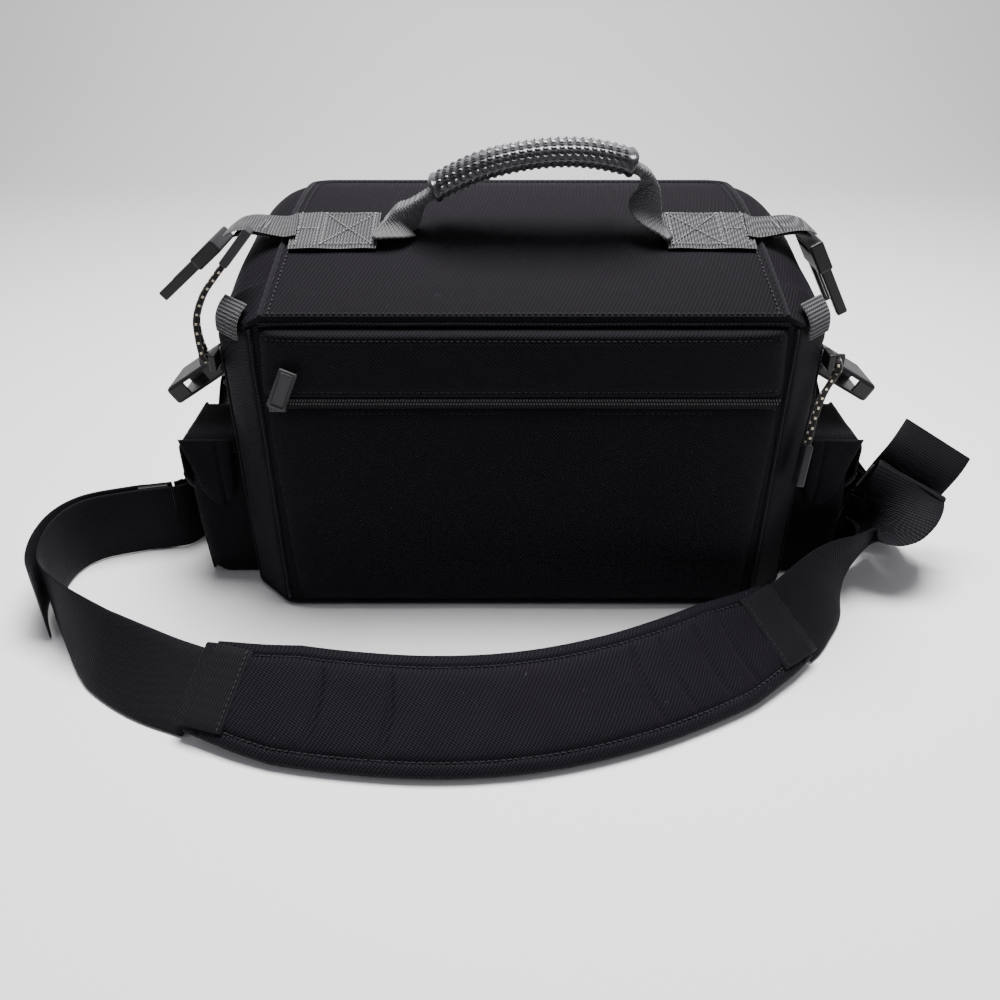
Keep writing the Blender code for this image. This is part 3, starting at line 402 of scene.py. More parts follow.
def stitches(name, path, normals, material, body, pitch=0.0034, length=0.0024, radius=0.00038):
    """A row of sewn stitches lying on a surface."""
    rows, ups = resample(path, pitch, normals)
    directions = tangents(rows)
    verts, faces = [], []
    for p, up, along in zip(rows, ups, directions):
        up = (up - along * up.dot(along)).normalized()
        side = along.cross(up)
        base = len(verts)
        for reach, size in ((-0.5, 0.35), (-0.28, 1.0), (0.28, 1.0), (0.5, 0.35)):
            for j in range(5):
                a = 2 * math.pi * j / 5
                verts.append(p + along * length * reach + (side * math.cos(a) + up * math.sin(a)) * radius * size)
        faces.extend(grid_faces(4, 5, start=base))
        faces.append(tuple(base + j for j in reversed(range(5))))
        faces.append(tuple(base + 15 + j for j in range(5)))
    return make(name, verts, faces, material, body)


def teeth(name, path, ups, outs, material, body, size=(0.00105, 0.0019, 0.0013), pitch=0.00165):
    """The coil of one side of a zip: a row of rounded teeth."""
    rows, up_list, out_list = resample(path, pitch, ups, outs)
    directions = tangents(rows)
    verts, faces = [], []
    for p, up, out, along in zip(rows, up_list, out_list, directions):
        base = len(verts)
        for a, b, c in ((-1, -1, 0), (1, -1, 0), (1, 1, 0), (-1, 1, 0),
                        (-0.7, -0.8, 1), (0.7, -0.8, 1), (0.7, 0.8, 1), (-0.7, 0.8, 1)):
            verts.append(p + along * (a * size[0] / 2) + up * (b * size[1] / 2) + out * (c * size[2]))
        faces.extend([(base + 4, base + 5, base + 6, base + 7), (base, base + 1, base + 5, base + 4),
                      (base + 1, base + 2, base + 6, base + 5), (base + 2, base + 3, base + 7, base + 6),
                      (base + 3, base, base + 4, base + 7), (base + 3, base + 2, base + 1, base)])
    return make(name, verts, faces, material, body, smooth=False)


# ---------------------------------------------------------------- walls

def plan(inset=0.0, **steps):
    slope = inset * 0.42
    half = [(BACK_HALF - slope, BACK_Y + inset), (SIDE_HALF - inset, SIDE_Y0 + slope),
            (SIDE_HALF - inset, SIDE_Y1 - slope), (FRONT_HALF - slope, FRONT_Y - inset)]
    corners = half + [(-x, y) for x, y in reversed(half)]
    radii = [0.012, 0.016, 0.014, 0.014]
    return rounded(corners, radii + radii[::-1], **steps)


def rim_height(y):
    return RIM_Z + (HINGE_Z - RIM_Z) * max(0.0, 1.0 - (y - BACK_Y) / 0.030)


def lid_top(y):
    return 0.238 - 0.041 * abs((0.062 - y) / 0.137) ** 1.6


def outward_of(ring, i):
    along = ring[(i + 1) % len(ring)] - ring[i - 1]
    return Vector((along.y, -along.x, 0)).normalized()


def seam_distance(ring, seams):
    """Distance along the outline from each point to the nearest seam."""
    total = [0.0]
    for i in range(len(ring)):
        total.append(total[-1] + (Vector(ring[(i + 1) % len(ring)]) - Vector(ring[i])).length)
    round_trip = total[-1]
    result = []
    for i in range(len(ring)):
        gaps = [abs(total[i] - total[s]) for s in seams]
        result.append(min(min(g, round_trip - g) for g in gaps))
    return result


ARC, EDGE = 6, 12
CORNER_STEP = ARC + 1 + EDGE


def make_walls():
    outline = plan(arc_steps=ARC, edge_steps=EDGE)
    seams = [CORNER_STEP * k + ARC // 2 for k in (0, 1, 6, 7)]
    near = seam_distance(outline, seams)
    rings = [[Vector((p.x, p.y, z)) for p in plan(inset, arc_steps=ARC, edge_steps=EDGE)]
             for inset, z in ((0.030, 0.0), (0.006, 0.0), (0.002, 0.0014))]
    levels = 26
    for level in range(levels + 1):
        t = level / levels
        ring = []
        for i, p in enumerate(outline):
            z = 0.005 + (rim_height(p.y) - 0.005) * t
            out = outward_of(outline, i)
            covered = abs(p.y - BACK_Y) < 0.002 or abs(p.y - FRONT_Y) < 0.002 or abs(abs(p.x) - SIDE_HALF) < 0.001
            swell = 0.0004 if covered else 0.0014
            bulge = swell * (1 - math.exp(-near[i] / 0.008)) * hill(t) ** 0.6
            groove = 0.0012 * math.exp(-(near[i] / 0.0016) ** 2)
            place = Vector((p.x, p.y, z))
            crease = 0.0 if covered else 0.0008 * ripple(place, 0.022, 3.1) * hill(t)
            ring.append(place + out * (bulge - groove + crease))
        rings.append(ring)
    for inset, z in ((WALL, None), (WALL, 0.14), (WALL, 0.06), (WALL, 0.008), (WALL + 0.006, WALL)):
        ring = []
        for p in plan(inset, arc_steps=ARC, edge_steps=EDGE):
            ring.append(Vector((p.x, p.y, rim_height(p.y) if z is None else z)))
        rings.append(ring)
    loft("bag_walls", rings, NYLON, "bag_body", nodes=("body_shell",), slot="black_fabric")

    # Bound seams: round the base and up both rear corners and both side corners.
    base = [Vector((p.x, p.y, 0.0035)) for p in plan(0.0008, arc_steps=ARC, edge_steps=EDGE)]
    tube("base_binding", base, 0.0019, BINDING, "bag_body", closed=True)
    for k, seam in enumerate(seams):
        p = outline[seam]
        out = outward_of(outline, seam)
        column = []
        for step in range(25):
            t = step / 24
            z = 0.006 + (rim_height(p.y) - 0.008) * t
            column.append(Vector((p.x, p.y, z)) + out * (0.0004 + 0.0004 * ripple((p.x, p.y, z), 0.02, 7.0)))
        tube(f"corner_binding_{k}", column, 0.0008, BINDING, "bag_body")


def lid_crown(inset, **steps):
    half = [(0.146, BACK_Y), (0.1435, SIDE_Y0 + 0.004), (0.136, SIDE_Y1 - 0.004), (0.128, FRONT_Y - 0.008)]
    inner = [(half[0][0] - inset, BACK_Y + inset), (half[1][0] - inset, half[1][1]),
             (half[2][0] - inset, half[2][1]), (half[3][0] - inset, half[3][1] - inset)]
    radii = [0.004, 0.016, 0.010, 0.010]
    return rounded(inner + [(-x, y) for x, y in reversed(inner)], radii + radii[::-1], **steps)


def lid_side(inset, profile):
    foot = plan(inset, arc_steps=ARC, edge_steps=EDGE)
    crown = lid_crown(inset, arc_steps=ARC, edge_steps=EDGE)
    rings = []
    for across, up in profile:
        ring = []
        for low, high in zip(foot, crown):
            flat = low.lerp(high, across)
            foot_z = rim_height(low.y) + LID_GAP
            top_z = max(lid_top(high.y) - inset, foot_z + 0.0045)
            ring.append(Vector((flat.x, flat.y, foot_z + (top_z - foot_z) * up)))
        rings.append(ring)
    return rings, crown


def make_lid():
    stops = [(0.0, 0.0), (0.0, 0.14), (-0.015, 0.30), (0.08, 0.54), (0.30, 0.77), (0.62, 0.92), (1.0, 1.0)]
    profile = [(v.x, v.y) for v in smooth_path([Vector(s) for s in stops], 4)]
    rings, crown = lid_side(0.0, profile)
    for level, ring in enumerate(rings):
        t = level / (len(rings) - 1)
        for i, p in enumerate(ring):
            out = outward_of(ring, i)
            calm = 0.0 if p.y < BACK_Y + 0.004 else 1.0
            ring[i] = p + out * (0.0014 * ripple(p, 0.03, 1.7) * hill(t) * calm)
    edge = [p.copy() for p in rings[-1]]
    for scale in (0.975, 0.94, 0.88, 0.80, 0.70, 0.58, 0.46, 0.34, 0.22, 0.10):
        ring = []
        for p in crown:
            y = 0.004 + (p.y - 0.004) * scale
            place = Vector((p.x * scale, y, lid_top(y)))
            fill = 0.0008 * (1 - scale ** 6) + 0.0008 * ripple(place, 0.055, 5.0) * (1 - scale ** 8)
            ring.append(place + Vector((0, 0, fill)))
        rings.append(ring)
    coarse = [(0.0, 0.0), (0.0, 0.14), (-0.015, 0.3), (0.08, 0.54), (0.3, 0.77), (1.0, 1.0)]
    inner, inner_crown = lid_side(WALL, coarse)
    for scale in (0.8, 0.5, 0.2):
        ring = []
        for p in inner_crown:
            y = 0.004 + (p.y - 0.004) * scale
            ring.append(Vector((p.x * scale, y, lid_top(y) - WALL)))
        inner.append(ring)
    loft("lid_cloth", list(reversed(rings)) + inner, NYLON, "lid", nodes=("lid_shell",), slot="black_fabric")

    # The top panel's edge seam runs down both sides and along the front.
    rear = BACK_Y + 0.003
    first = next(i for i, p in enumerate(edge) if p.y > rear and p.x > 0)
    ordered = [p + Vector((0, 0, 0.0003)) for p in edge[first:] + edge[:first] if p.y > rear]
    tube("lid_edge_seam", ordered, 0.0014, BINDING, "lid")
    inside, seam_inset = [], 0.005
    for p in ordered:
        pull = Vector((-p.x, 0.006 - p.y, 0)).normalized()
        y = p.y + pull.y * seam_inset
        inside.append(Vector((p.x + pull.x * seam_inset, y, lid_top(y) + 0.0007)))
    stitches("lid_topstitch", inside, [UP] * len(inside), THREAD, "lid")


def make_hinge():
    """The sewn fold between the rear wall and the lid, with its topstitching."""
    y, z = BACK_Y - 0.0002, HINGE_Z + 0.0003
    path = []
    for k in range(81):
        x = -0.146 + 0.292 * k / 80
        path.append(Vector((x, y + 0.0003 * ripple((x, 0, z), 0.02, 2.0), z + 0.0003 * ripple((x, z, 0), 0.03))))
    tube("hinge_fold", path, 0.0012, NYLON, "bag_body")
    y = BACK_Y + 0.0050
    path = [Vector((-0.142 + 0.284 * k / 40, y, lid_top(y) + 0.0009)) for k in range(41)]
    stitches("hinge_topstitch", path, [Vector((0, -0.4, 0.9))] * 41, THREAD, "lid")


def padded_panel(name, y, outward, half_low, half_high, z0, z1, depth, node, sag=0.0, seed=0.0):
    """A quilted panel sewn down along its edges: crowned cloth over foam, with a sewn groove inside the edge."""
    columns, rows, sew = 97, 41, 0.0045

    def crown_at(u, v):
        return (max(0.0, 1 - abs(u) ** 14) ** 0.5) * (max(0.0, 1 - abs(2 * v - 1) ** 8) ** 0.5)

    def wrinkle_at(x, z):
        return 0.0007 * ripple((x, 0, z), 0.060, seed) + 0.0002 * ripple((x, 0, z), 0.022, seed + 3)

    front, back = [], []
    for r in range(rows):
        v = r / (rows - 1)
        z = z0 + (z1 - z0) * v
        half = half_low + (half_high - half_low) * v
        for c in range(columns):
            u = 2 * c / (columns - 1) - 1
            corner = 0.004 * (abs(u) ** 18) * (abs(2 * v - 1) ** 10)
            x = u * (half - corner * 0.5)
            crown = crown_at(u, v)
            lean = 1 + sag * (0.5 - v)
            gap = min((1 - abs(u)) * half, min(v, 1 - v) * (z1 - z0))
            groove = 0.0010 * math.exp(-((gap - sew) / 0.0011) ** 2)
            lift = 0.0006 + depth * crown * lean + wrinkle_at(x, z) * crown - groove
            zz = z + 0.0007 * ripple((x, 0, z), 0.04, seed + 9) * crown
            front.append(Vector((x, y + outward * lift, zz)))
            back.append(Vector((x, y + outward * 0.0002, z)))
    item = make(name, front + back, slab_faces(rows, columns, outward > 0), PANEL, "bag_body", nodes=(node,),
                slot="black_fabric")
    lines = [(-1, 0, -1, 1), (1, 0, 1, 1), (-1, 1, 1, 1), (-1, 0, 1, 0)]
    for k, (u0, v0, u1, v1) in enumerate(lines):
        path, ups = [], []
        for step in range(41):
            t = step / 40
            v = v0 + (v1 - v0) * t
            u = u0 + (u1 - u0) * t
            half = half_low + (half_high - half_low) * v
            x = u * (half - sew)
            if u0 == u1:
                z = z0 + sew + (z1 - z0 - 2 * sew) * v
            else:
                z = z0 + sew if v < 0.5 else z1 - sew
            height = (z - z0) / (z1 - z0)
            crown = crown_at(x / half, height)
            lift = depth * crown * (1 + sag * (0.5 - height)) + wrinkle_at(x, z) * crown - 0.0001
            path.append(Vector((x, y + outward * lift, z)))
            ups.append(Vector((0, outward, 0)))
        stitches(f"{name}_stitch_{k}", path, ups, THREAD, "bag_body")


def flat_zip(name, y, outward, half, z, node):
    """The tape and coil of a straight zip."""
    path = [Vector((-half + 2 * half * k / 40, y + outward * 0.0009, z)) for k in range(41)]
    webbing(name + "_tape", path, [UP] * 41, 0.0115, 0.0009, TAPE, "bag_body", pitch=0.0012,
            rib=0.0001, nodes=(node,), slot="zip_tape")
    for label, offset in (("upper", 0.00105), ("lower", -0.00105)):
        row = [p + Vector((0.0008 if offset > 0 else 0.0, outward * 0.0004, offset)) for p in path]
        teeth(f"{name}_coil_{label}", row, [UP] * 41, [Vector((0, outward, 0))] * 41, COIL,
              "bag_body")


def rim_path(offset, z):
    outline = plan(-offset, arc_steps=ARC, edge_steps=EDGE)
    right = [p for p in outline if p.x > 0 and p.y > SIDE_Y0 + 0.006]
    flat = right + [Vector((-p.x, p.y)) for p in reversed(right)]
    path = [Vector((p.x, p.y, z)) for p in flat]
    return path, [Vector((along.y, -along.x, 0)) for along in tangents(path)]


def make_main_zip():
    for body, node, z0, z1, coil in (("lid", "lid_zip_tape", 0.1636, 0.1711, 0.16445),
                                     ("bag_body", "body_zip_tape", 0.1555, 0.1627, 0.16205)):
        path, _ = rim_path(0.0010, (z0 + z1) / 2)
        webbing(f"{node}_cloth", path, [UP] * len(path), z1 - z0, 0.0011, TAPE, body, pitch=0.0012,
                rib=0.0001, nodes=(node,), slot="zip_tape")
        row, outs = rim_path(0.0015, coil)
        sign = 1 if outs[0].x > 0 else -1
        teeth(f"{node}_coil", row, [UP] * len(row), [o * sign for o in outs], COIL, body,
              size=(0.00105, 0.0015, 0.0007))


make_walls()
make_lid()
make_hinge()
for panel, wall_y, facing, half_low, half_high, z0, z1, depth, sag, seed in (
        ("back_upper", BACK_Y, -1, 0.1485, 0.1460, 0.1530, 0.1935, 0.0068, -0.5, 0.0),
        ("back_lower", BACK_Y, -1, 0.1440, 0.1480, 0.0060, 0.1470, 0.0040, 0.5, 4.0),
        ("front_upper", FRONT_Y, 1, 0.1400, 0.1400, 0.1292, 0.1520, 0.0036, 0.0, 7.0),
        ("front_lower", FRONT_Y, 1, 0.1360, 0.1390, 0.0080, 0.1228, 0.0040, 0.5, 11.0)):
    padded_panel(f"{panel}_cushion", wall_y, facing, half_low, half_high, z0, z1, depth,
                 panel.replace("_", "_panel_"), sag, seed)
flat_zip("back_zip", BACK_Y, -1, 0.1465, BACK_ZIP_Z, "back_zip_chain")
flat_zip("front_zip", FRONT_Y, 1, 0.1370, FRONT_ZIP_Z, "front_zip_chain")
make_main_zip()


# ---------------------------------------------------------------- side pockets

def pocket_outline(x0, x1, y0, y1, radius, sign):
    points = rounded([(x0, y0), (x1, y0), (x1, y1), (x0, y1)], [0.001, radius, radius, 0.001], edge_steps=9)
    if sign < 0:
        return [Vector((-p.x, p.y)) for p in reversed(points)]
    return points


def make_pocket(name, sign):
    inner, outer, y0, y1, top = SIDE_HALF + 0.0003, 0.2140, -0.040, 0.014, 0.104
    rings = []
    for step in range(19):
        t = step / 18
        z = 0.0006 + (top - 0.0006) * t
        shrink = 0.0045 * math.exp(-z / 0.0022)
        swell = 0.0022 * hill(t) ** 0.7
        ring = pocket_outline(inner, outer - shrink + swell, y0 + shrink - swell * 0.4, y1 - shrink + swell * 0.4,
                              0.010, sign)
        rings.append([Vector((p.x, p.y, z))
                      + Vector((sign * 0.0012 * ripple((p.x, p.y, z), 0.02, 6.0) * hill(t), 0, 0)) for p in ring])
    for inset, z in ((0.0018, top), (0.0020, top - 0.01), (0.0020, 0.02), (0.0024, 0.006)):
        ring = pocket_outline(inner + inset * 0.5, outer - inset, y0 + inset, y1 - inset, 0.0085, sign)
        rings.append([Vector((p.x, p.y, z)) for p in ring])
    loft(f"pocket_{name}", rings, NYLON, "bag_body", nodes=(f"side_pocket_{name}",), slot="black_fabric")
    for k, y in enumerate((y0 + 0.003, y1 - 0.003)):
        seam = [Vector((sign * (outer - 0.0025 + 0.0018 * hill(s / 20)), y, 0.004 + 0.076 * s / 20))
                for s in range(21)]
        tube(f"pocket_seam_{name}_{k}", seam, 0.0011, BINDING, "bag_body")

    # The flap: a top, short sides, and a long outer face cut to a rounded point.
    columns, rows = 33, 27
    reach, round_off = 0.0355 + 0.0018, 0.006
    outer_skin, inner_skin = [], []
    for r in range(rows):
        t = r / (rows - 1)
        for c in range(columns):
            u = c / (columns - 1)
            y = y0 - 0.0026 + (y1 - y0 + 0.0052) * u
            tip = 0.024 + 0.024 * hill(u) ** 0.75
            run = reach + tip
            s = run * t
            if s < reach - round_off:
                x, z = 0.1795 + s, 0.1068
            elif s < reach + round_off:
                a = (s - reach + round_off) / (2 * round_off) * math.pi / 2
                x = 0.1795 + reach - round_off + math.sin(a) * round_off * 1.05
                z = 0.1068 - (1 - math.cos(a)) * round_off * 1.05
            else:
                x = 0.1795 + reach + 0.0004
                z = 0.1068 - round_off * 1.05 - (s - reach - round_off)
            x += 0.0012 * ripple((x, y, z), 0.018, 8.0 + sign) * t * hill(u)
            end = 0.0
            if u < 0.12 or u > 0.88:
                edge = (0.12 - min(u, 1 - u)) / 0.12
                end = 0.007 * edge ** 1.5
            place = Vector((sign * x, y, z - end * (1 if s < reach else 0)))
            outer_skin.append(place)
            thin = Vector((sign * -0.0016 if s > reach - round_off else 0, 0, -0.0018 if s < reach else 0))
            inner_skin.append(place + thin)
    make(f"flap_cloth_{name}", outer_skin + inner_skin, slab_faces(rows, columns, sign > 0), NYLON, f"flap_{name}",
         nodes=(f"pocket_flap_{name}",), slot="black_fabric")
    hem = [outer_skin[(rows - 1) * columns + c] + Vector((-sign * 0.0008, 0, 0)) for c in range(columns)]
    tube(f"flap_hem_{name}", hem, 0.0014, BINDING, f"flap_{name}")


def make_lobe(name, sign):
    """The flap's rear ear: a padded tongue that hangs over the pocket's rear corner, with a seam down it."""
    columns, rows = 25, 33
    front, back = [], []
    for j in range(rows):
        v = j / (rows - 1)
        round_tip = math.sqrt(max(0.0, 1 - (max(0.0, v - 0.72) / 0.28) ** 2))
        inner, outer = 0.1830 + 0.0030 * v, 0.2165 - 0.0130 * v
        middle, half = (inner + outer) / 2, (outer - inner) / 2 * round_tip
        for k in range(columns):
            u = 2 * k / (columns - 1) - 1
            x = middle + half * u
            z = 0.1072 - 0.0480 * v
            puff = 0.0022 * (max(0.0, 1 - u ** 6) ** 0.5) * (0.5 + 0.5 * hill(v))
            seam = 0.0012 * math.exp(-((x - 0.1925) / 0.0010) ** 2)
            y = -0.0436 - puff + seam + 0.0006 * ripple((x, 0, z), 0.014, 3.0 + sign)
            front.append(Vector((sign * x, y, z)))
            back.append(Vector((sign * x, -0.0428, z)))
    make(f"flap_ear_{name}", front + back, slab_faces(rows, columns, sign > 0), NYLON, f"flap_{name}")


for side_name, side_sign in SIDES:
    make_pocket(side_name, side_sign)
    make_lobe(side_name, side_sign)


# ---------------------------------------------------------------- inside

def soften(node, name, material, body, voxel, swell, seed):
    """A foam piece under cloth: rounded by a voxel remesh, with a slow unevenness."""
    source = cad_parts[node]
    item = bpy.data.objects.new(name, source.data.copy())
    bpy.context.scene.collection.objects.link(item)
    remesh = item.modifiers.new("remesh", "REMESH")
    remesh.mode = "VOXEL"
    remesh.voxel_size = voxel
    calm = item.modifiers.new("calm", "SMOOTH")
    calm.factor = 0.5
    calm.iterations = 16
    graph = bpy.context.evaluated_depsgraph_get()
    mesh = bpy.data.meshes.new_from_object(item.evaluated_get(graph))
    item.modifiers.clear()
    item.data = mesh
    mesh.materials.clear()
    mesh.materials.append(material)
    normals = [vertex.normal.copy() for vertex in mesh.vertices]
    for vertex, normal in zip(mesh.vertices, normals):
        vertex.co += normal * (swell * (0.5 + 0.9 * ripple(vertex.co, 0.03, seed)))
    for polygon in mesh.polygons:
        polygon.use_smooth = True
        polygon.material_index = 0
    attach(item, body)
    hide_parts(node)


for number, (node, voxel) in enumerate((("padded_liner", 0.003), ("divider_left", 0.0028),
                                        ("divider_right", 0.0028), ("lid_padding", 0.0022))):
    soften(node, node + "_foam", LINING, "lid" if node == "lid_padding" else "bag_body", voxel, 0.0002,
           float(number))


# ---------------------------------------------------------------- lid webbing

def slope_at(y):
    step = 0.001
    return math.atan((lid_top(y + step) - lid_top(y - step)) / (2 * step))


def stitch_run(name, points, up, thread, body, pitch=0.0030, length=0.0023, radius=0.00036):
    path = [Vector(p) for p in points]
    stitches(name, path, [Vector(up)] * len(path), thread, body, pitch, length, radius)


def make_lid_webbing(name, sign):
    slope = slope_at(HANDLE_Y)
    surface = Vector((0, HANDLE_Y, lid_top(HANDLE_Y)))
    up = Vector((0, -math.sin(slope), math.cos(slope)))
    across = Vector((0, math.cos(slope), math.sin(slope)))
    inner_x, outer_x = 0.0855, 0.1370
    centres = [surface + up * (0.0024 + 0.0003 * math.sin(k * 0.9)) + Vector((sign * x, 0, 0))
               for k, x in enumerate(inner_x + (outer_x - inner_x) * s / 12 for s in range(13))]
    webbing(f"patch_web_{name}", centres, [across] * 13, 0.038, 0.0022, GREY_WEB, "lid", rib=0.00075, pitch=0.0019,
            nodes=(f"handle_patch_{name}",), slot="grey_webbing")
    height = up * 0.0038

    def spot(x, a):
        return surface + height + Vector((sign * x, 0, 0)) + across * a

    box = [(0.0885, -0.0160), (0.0885, 0.0160), (0.1180, 0.0160), (0.1180, -0.0160)]
    runs = list(zip(box, box[1:] + box[:1])) + [(box[0], box[2]), (box[1], box[3]),
                                                ((0.1215, -0.0165), (0.1215, 0.0165)),
                                                ((0.1330, -0.0165), (0.1330, 0.0165)),
                                                ((0.1215, 0.0), (0.1330, 0.0))]
    for k, (a, b) in enumerate(runs):
        path = [spot(a[0] + (b[0] - a[0]) * s / 8, a[1] + (b[1] - a[1]) * s / 8) for s in range(9)]
        stitch_run(f"patch_stitch_{name}_{k}", path, up, GREY_THREAD, "lid")

    route = [Vector((0.1340, BUCKLE_Y, 0.2312)), Vector((0.1400, BUCKLE_Y, 0.2298)),
             Vector((0.148, BUCKLE_Y, 0.2304)), Vector((0.160, BUCKLE_Y, 0.2318)),
             Vector((0.1685, BUCKLE_Y, 0.2308))]
    route.append(Vector((0.1755, BUCKLE_Y, 0.2270)) if sign < 0 else Vector((0.1732, BUCKLE_Y, 0.2280)))
    path = smooth_path([Vector((sign * p.x, p.y, p.z)) for p in route], 6)
    twist = [across.lerp(DEEP, i / (len(path) - 1)).normalized() for i in range(len(path))]
    webbing(f"lid_strap_web_{name}", path, twist, BUCKLE_WIDTH, WEB_THICK, GREY_WEB, "lid", rib=0.0006,
            pitch=0.0017, wave=0.0006, nodes=(f"lid_strap_{name}",), slot="grey_webbing")
    # The strap's end comes back under the buckle's bar and is sewn below the strap.
    under = [Vector((sign * x, BUCKLE_Y, z)) for x, z in
             ((0.1700, 0.2268), (0.1620, 0.2284), (0.1540, 0.2276), (0.1490, 0.2262))]
    under = smooth_path(under, 5)
    webbing(f"lid_strap_return_{name}", under, [DEEP] * len(under), 0.0245, 0.0016, GREY_WEB, "lid",
            rib=0.00034, pitch=0.0017)
    for k, x in enumerate((0.1505, 0.1535)):
        z = 0.2320 if x < 0.152 else 0.2325
        stitch_run(f"lid_strap_stitch_{name}_{k}", [(sign * x, BUCKLE_Y - 0.0105 + 0.021 * s / 6, z)
                                                    for s in range(7)], (0, 0, 1), GREY_THREAD, "lid")


def make_wall_webbing(name, sign):
    """The short webbings on the side wall that hold the buckle's socket and the strap's ring."""
    route = [(SIDE_HALF + 0.0013, 0.118), (SIDE_HALF + 0.0013, 0.130), (SIDE_HALF + 0.0013, 0.1410),
             (SIDE_HALF + 0.0035, 0.1470)]
    path = smooth_path([Vector((sign * x, BUCKLE_Y, z)) for x, z in route], 3)
    webbing(f"socket_web_{name}", path, [DEEP] * len(path), BUCKLE_WIDTH, WEB_THICK, GREY_WEB, "bag_body",
            rib=0.0005, pitch=0.0017, nodes=(f"socket_webbing_{name}",), slot="grey_webbing")
    radius, bar_x, bar_z = 0.0042, 0.1850, 0.1310
    route = [(SIDE_HALF + 0.0014, z) for z in (0.098, 0.112, 0.126)]
    for step in range(7):
        angle = math.radians(180 - 30 * step)
        route.append((bar_x + radius * math.cos(angle), bar_z + radius * math.sin(angle)))
    path = [Vector((sign * x, RING_Y, z)) for x, z in route]
    webbing(f"ring_tab_web_{name}", path, [DEEP] * len(path), 0.046, WEB_THICK, BLACK_WEB, "bag_body",
            nodes=(f"ring_tab_{name}",), slot="black_webbing")


def make_handle():
    route = [(-0.0855, HANDLE_Z, 9, 4), (-0.068, 0.2425, 16, 5), (-0.0515, 0.2520, 20, 5.5),
             (-0.025, 0.2640, 21, 6), (0.005, 0.2708, 21, 6), (0.035, 0.2718, 21, 6),
             (0.0635, 0.2660, 20, 5.5), (0.0765, 0.2570, 16, 5), (0.0825, HANDLE_Z, 9, 4)]
    steps = 16
    centres = smooth_path([Vector((x, HANDLE_Y, z)) for x, z, w, t in route], steps)
    sizes = smooth_path([Vector((w, t, 0)) * 0.001 for x, z, w, t in route], steps)
    side = DEEP
    first, last = 2 * steps, 6 * steps

    # Risers: the patch's webbing goes up at full width, and its near half folds under until both halves lie flat.
    for label, sign, part in (("left", -1, centres[:first + 5]), ("right", 1, centres[last - 4:][::-1])):
        lead = [Vector((sign * 0.0875, HANDLE_Y, lid_top(HANDLE_Y) + 0.0028)),
                Vector((-0.0835 if sign < 0 else 0.0838, HANDLE_Y, lid_top(HANDLE_Y) + 0.0038))]
        rows, = resample(smooth_path(lead + part[10::6] + [part[-1]], 12), 0.00045)
        total = lengths(rows)
        rings = []
        half = 0.0175
        for p, along, s in zip(rows, tangents(rows), total):
            t = min(1.0, s / (total[-1] * 0.72))
            fold = t * t * (3 - 2 * t)
            rise = side.cross(along) if sign > 0 else along.cross(side)
            if sign < 0 and rise.z < -0.2:
                rise = -rise
            turn = math.radians(172) * fold
            crease = -0.0088 * fold
            rib = 0.00030 * math.cos(2 * math.pi * s / 0.0019)
            squeeze = 1 - 0.42 * fold * 0.25
            top, bottom = [], []
            for k in range(-10, 11):
                u = half * k / 10 * squeeze
                if u >= 0:
                    place, face = side * (crease + u), rise
                else:
                    bend = min(1.0, -u / 0.0030)
                    angle = turn * bend
                    tilt = angle * 0.5 + turn * 0.5 * (1 - (1 - bend) ** 2) * 0.999
                    place = side * (crease + u * math.cos(tilt))
                    place -= rise * (-u * math.sin(turn) + 0.0030 * fold * bend)
                    face = rise * math.cos(angle) - side * math.sin(angle)
                top.append(p + place + face * (0.0009 + rib))
                bottom.append(p + place - face * (0.0009 + rib))
            rings.append(top + bottom[::-1])
        web = loft(f"riser_web_{label}", rings, GREY_WEB, None, nodes=(f"handle_riser_{label}",),
                   slot="grey_webbing")
        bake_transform(web)

    # Grip: a rubber sleeve with rows of small moulded blocks.
    rows, fine = resample(centres[first:last + 1], 0.0011, sizes[first:last + 1])
    total = lengths(rows)
    rings, count = [], 84
    for j, (p, size, along, s) in enumerate(zip(rows, fine, tangents(rows), total)):
        rise = along.cross(side)
        ring = []
        row_on = (j % 4) in (1, 2)
        end = min(s, total[-1] - s)
        plain = end < 0.0045
        roll = 0.0012 * math.exp(-((end - 0.0016) / 0.0016) ** 2)
        half_w, half_t = size.x / 2 + 0.0036, size.y / 2 + 0.0036
        for k in range(count):
            angle = 2 * math.pi * (k + 0.5) / count
            c, n = math.cos(angle), math.sin(angle)
            wide = math.copysign(abs(c) ** 0.62, c) * half_w
            high = math.copysign(abs(n) ** 0.62, n) * half_t
            block = 0.00085 if row_on and (k % 4) in (1, 2) and not plain else 0.0
            out = side * (c * 0.8) + rise * n
            out.normalize()
            ring.append(p + side * wide + rise * high + out * (block + roll))
        rings.append(ring)
    loft("grip_sleeve", rings, GRIP, "handle", nodes=("handle_grip",), slot="rubber_grip", smooth=False)


def make_zip_end(name, sign):
    along = Vector((SIDE_HALF - BACK_HALF, SIDE_Y0 - BACK_Y, 0)).normalized()
    out = Vector((along.y, -along.x, 0))
    middle = Vector(((SIDE_HALF + BACK_HALF) / 2, (SIDE_Y0 + BACK_Y) / 2, 0))
    points = []
    for far, z in ((0.0032, 0.1855), (0.0032, 0.1900), (0.0022, 0.1948), (-0.0010, 0.2000), (-0.0055, 0.2042)):
        p = middle + out * far
        points.append(Vector((sign * p.x, p.y, z)))
    path = smooth_path(points, 5)
    wide = Vector((sign * along.x, along.y, 0))
    webbing(f"zip_end_web_{name}", path, [wide] * len(path), 0.024, 0.0020, GREY_WEB, "lid", rib=0.00055,
            pitch=0.0021, nodes=(f"zip_end_tab_{name}",), slot="grey_webbing")


for side_name, side_sign in SIDES:
    make_lid_webbing(side_name, side_sign)
    make_wall_webbing(side_name, side_sign)
    make_zip_end(side_name, side_sign)
make_handle()


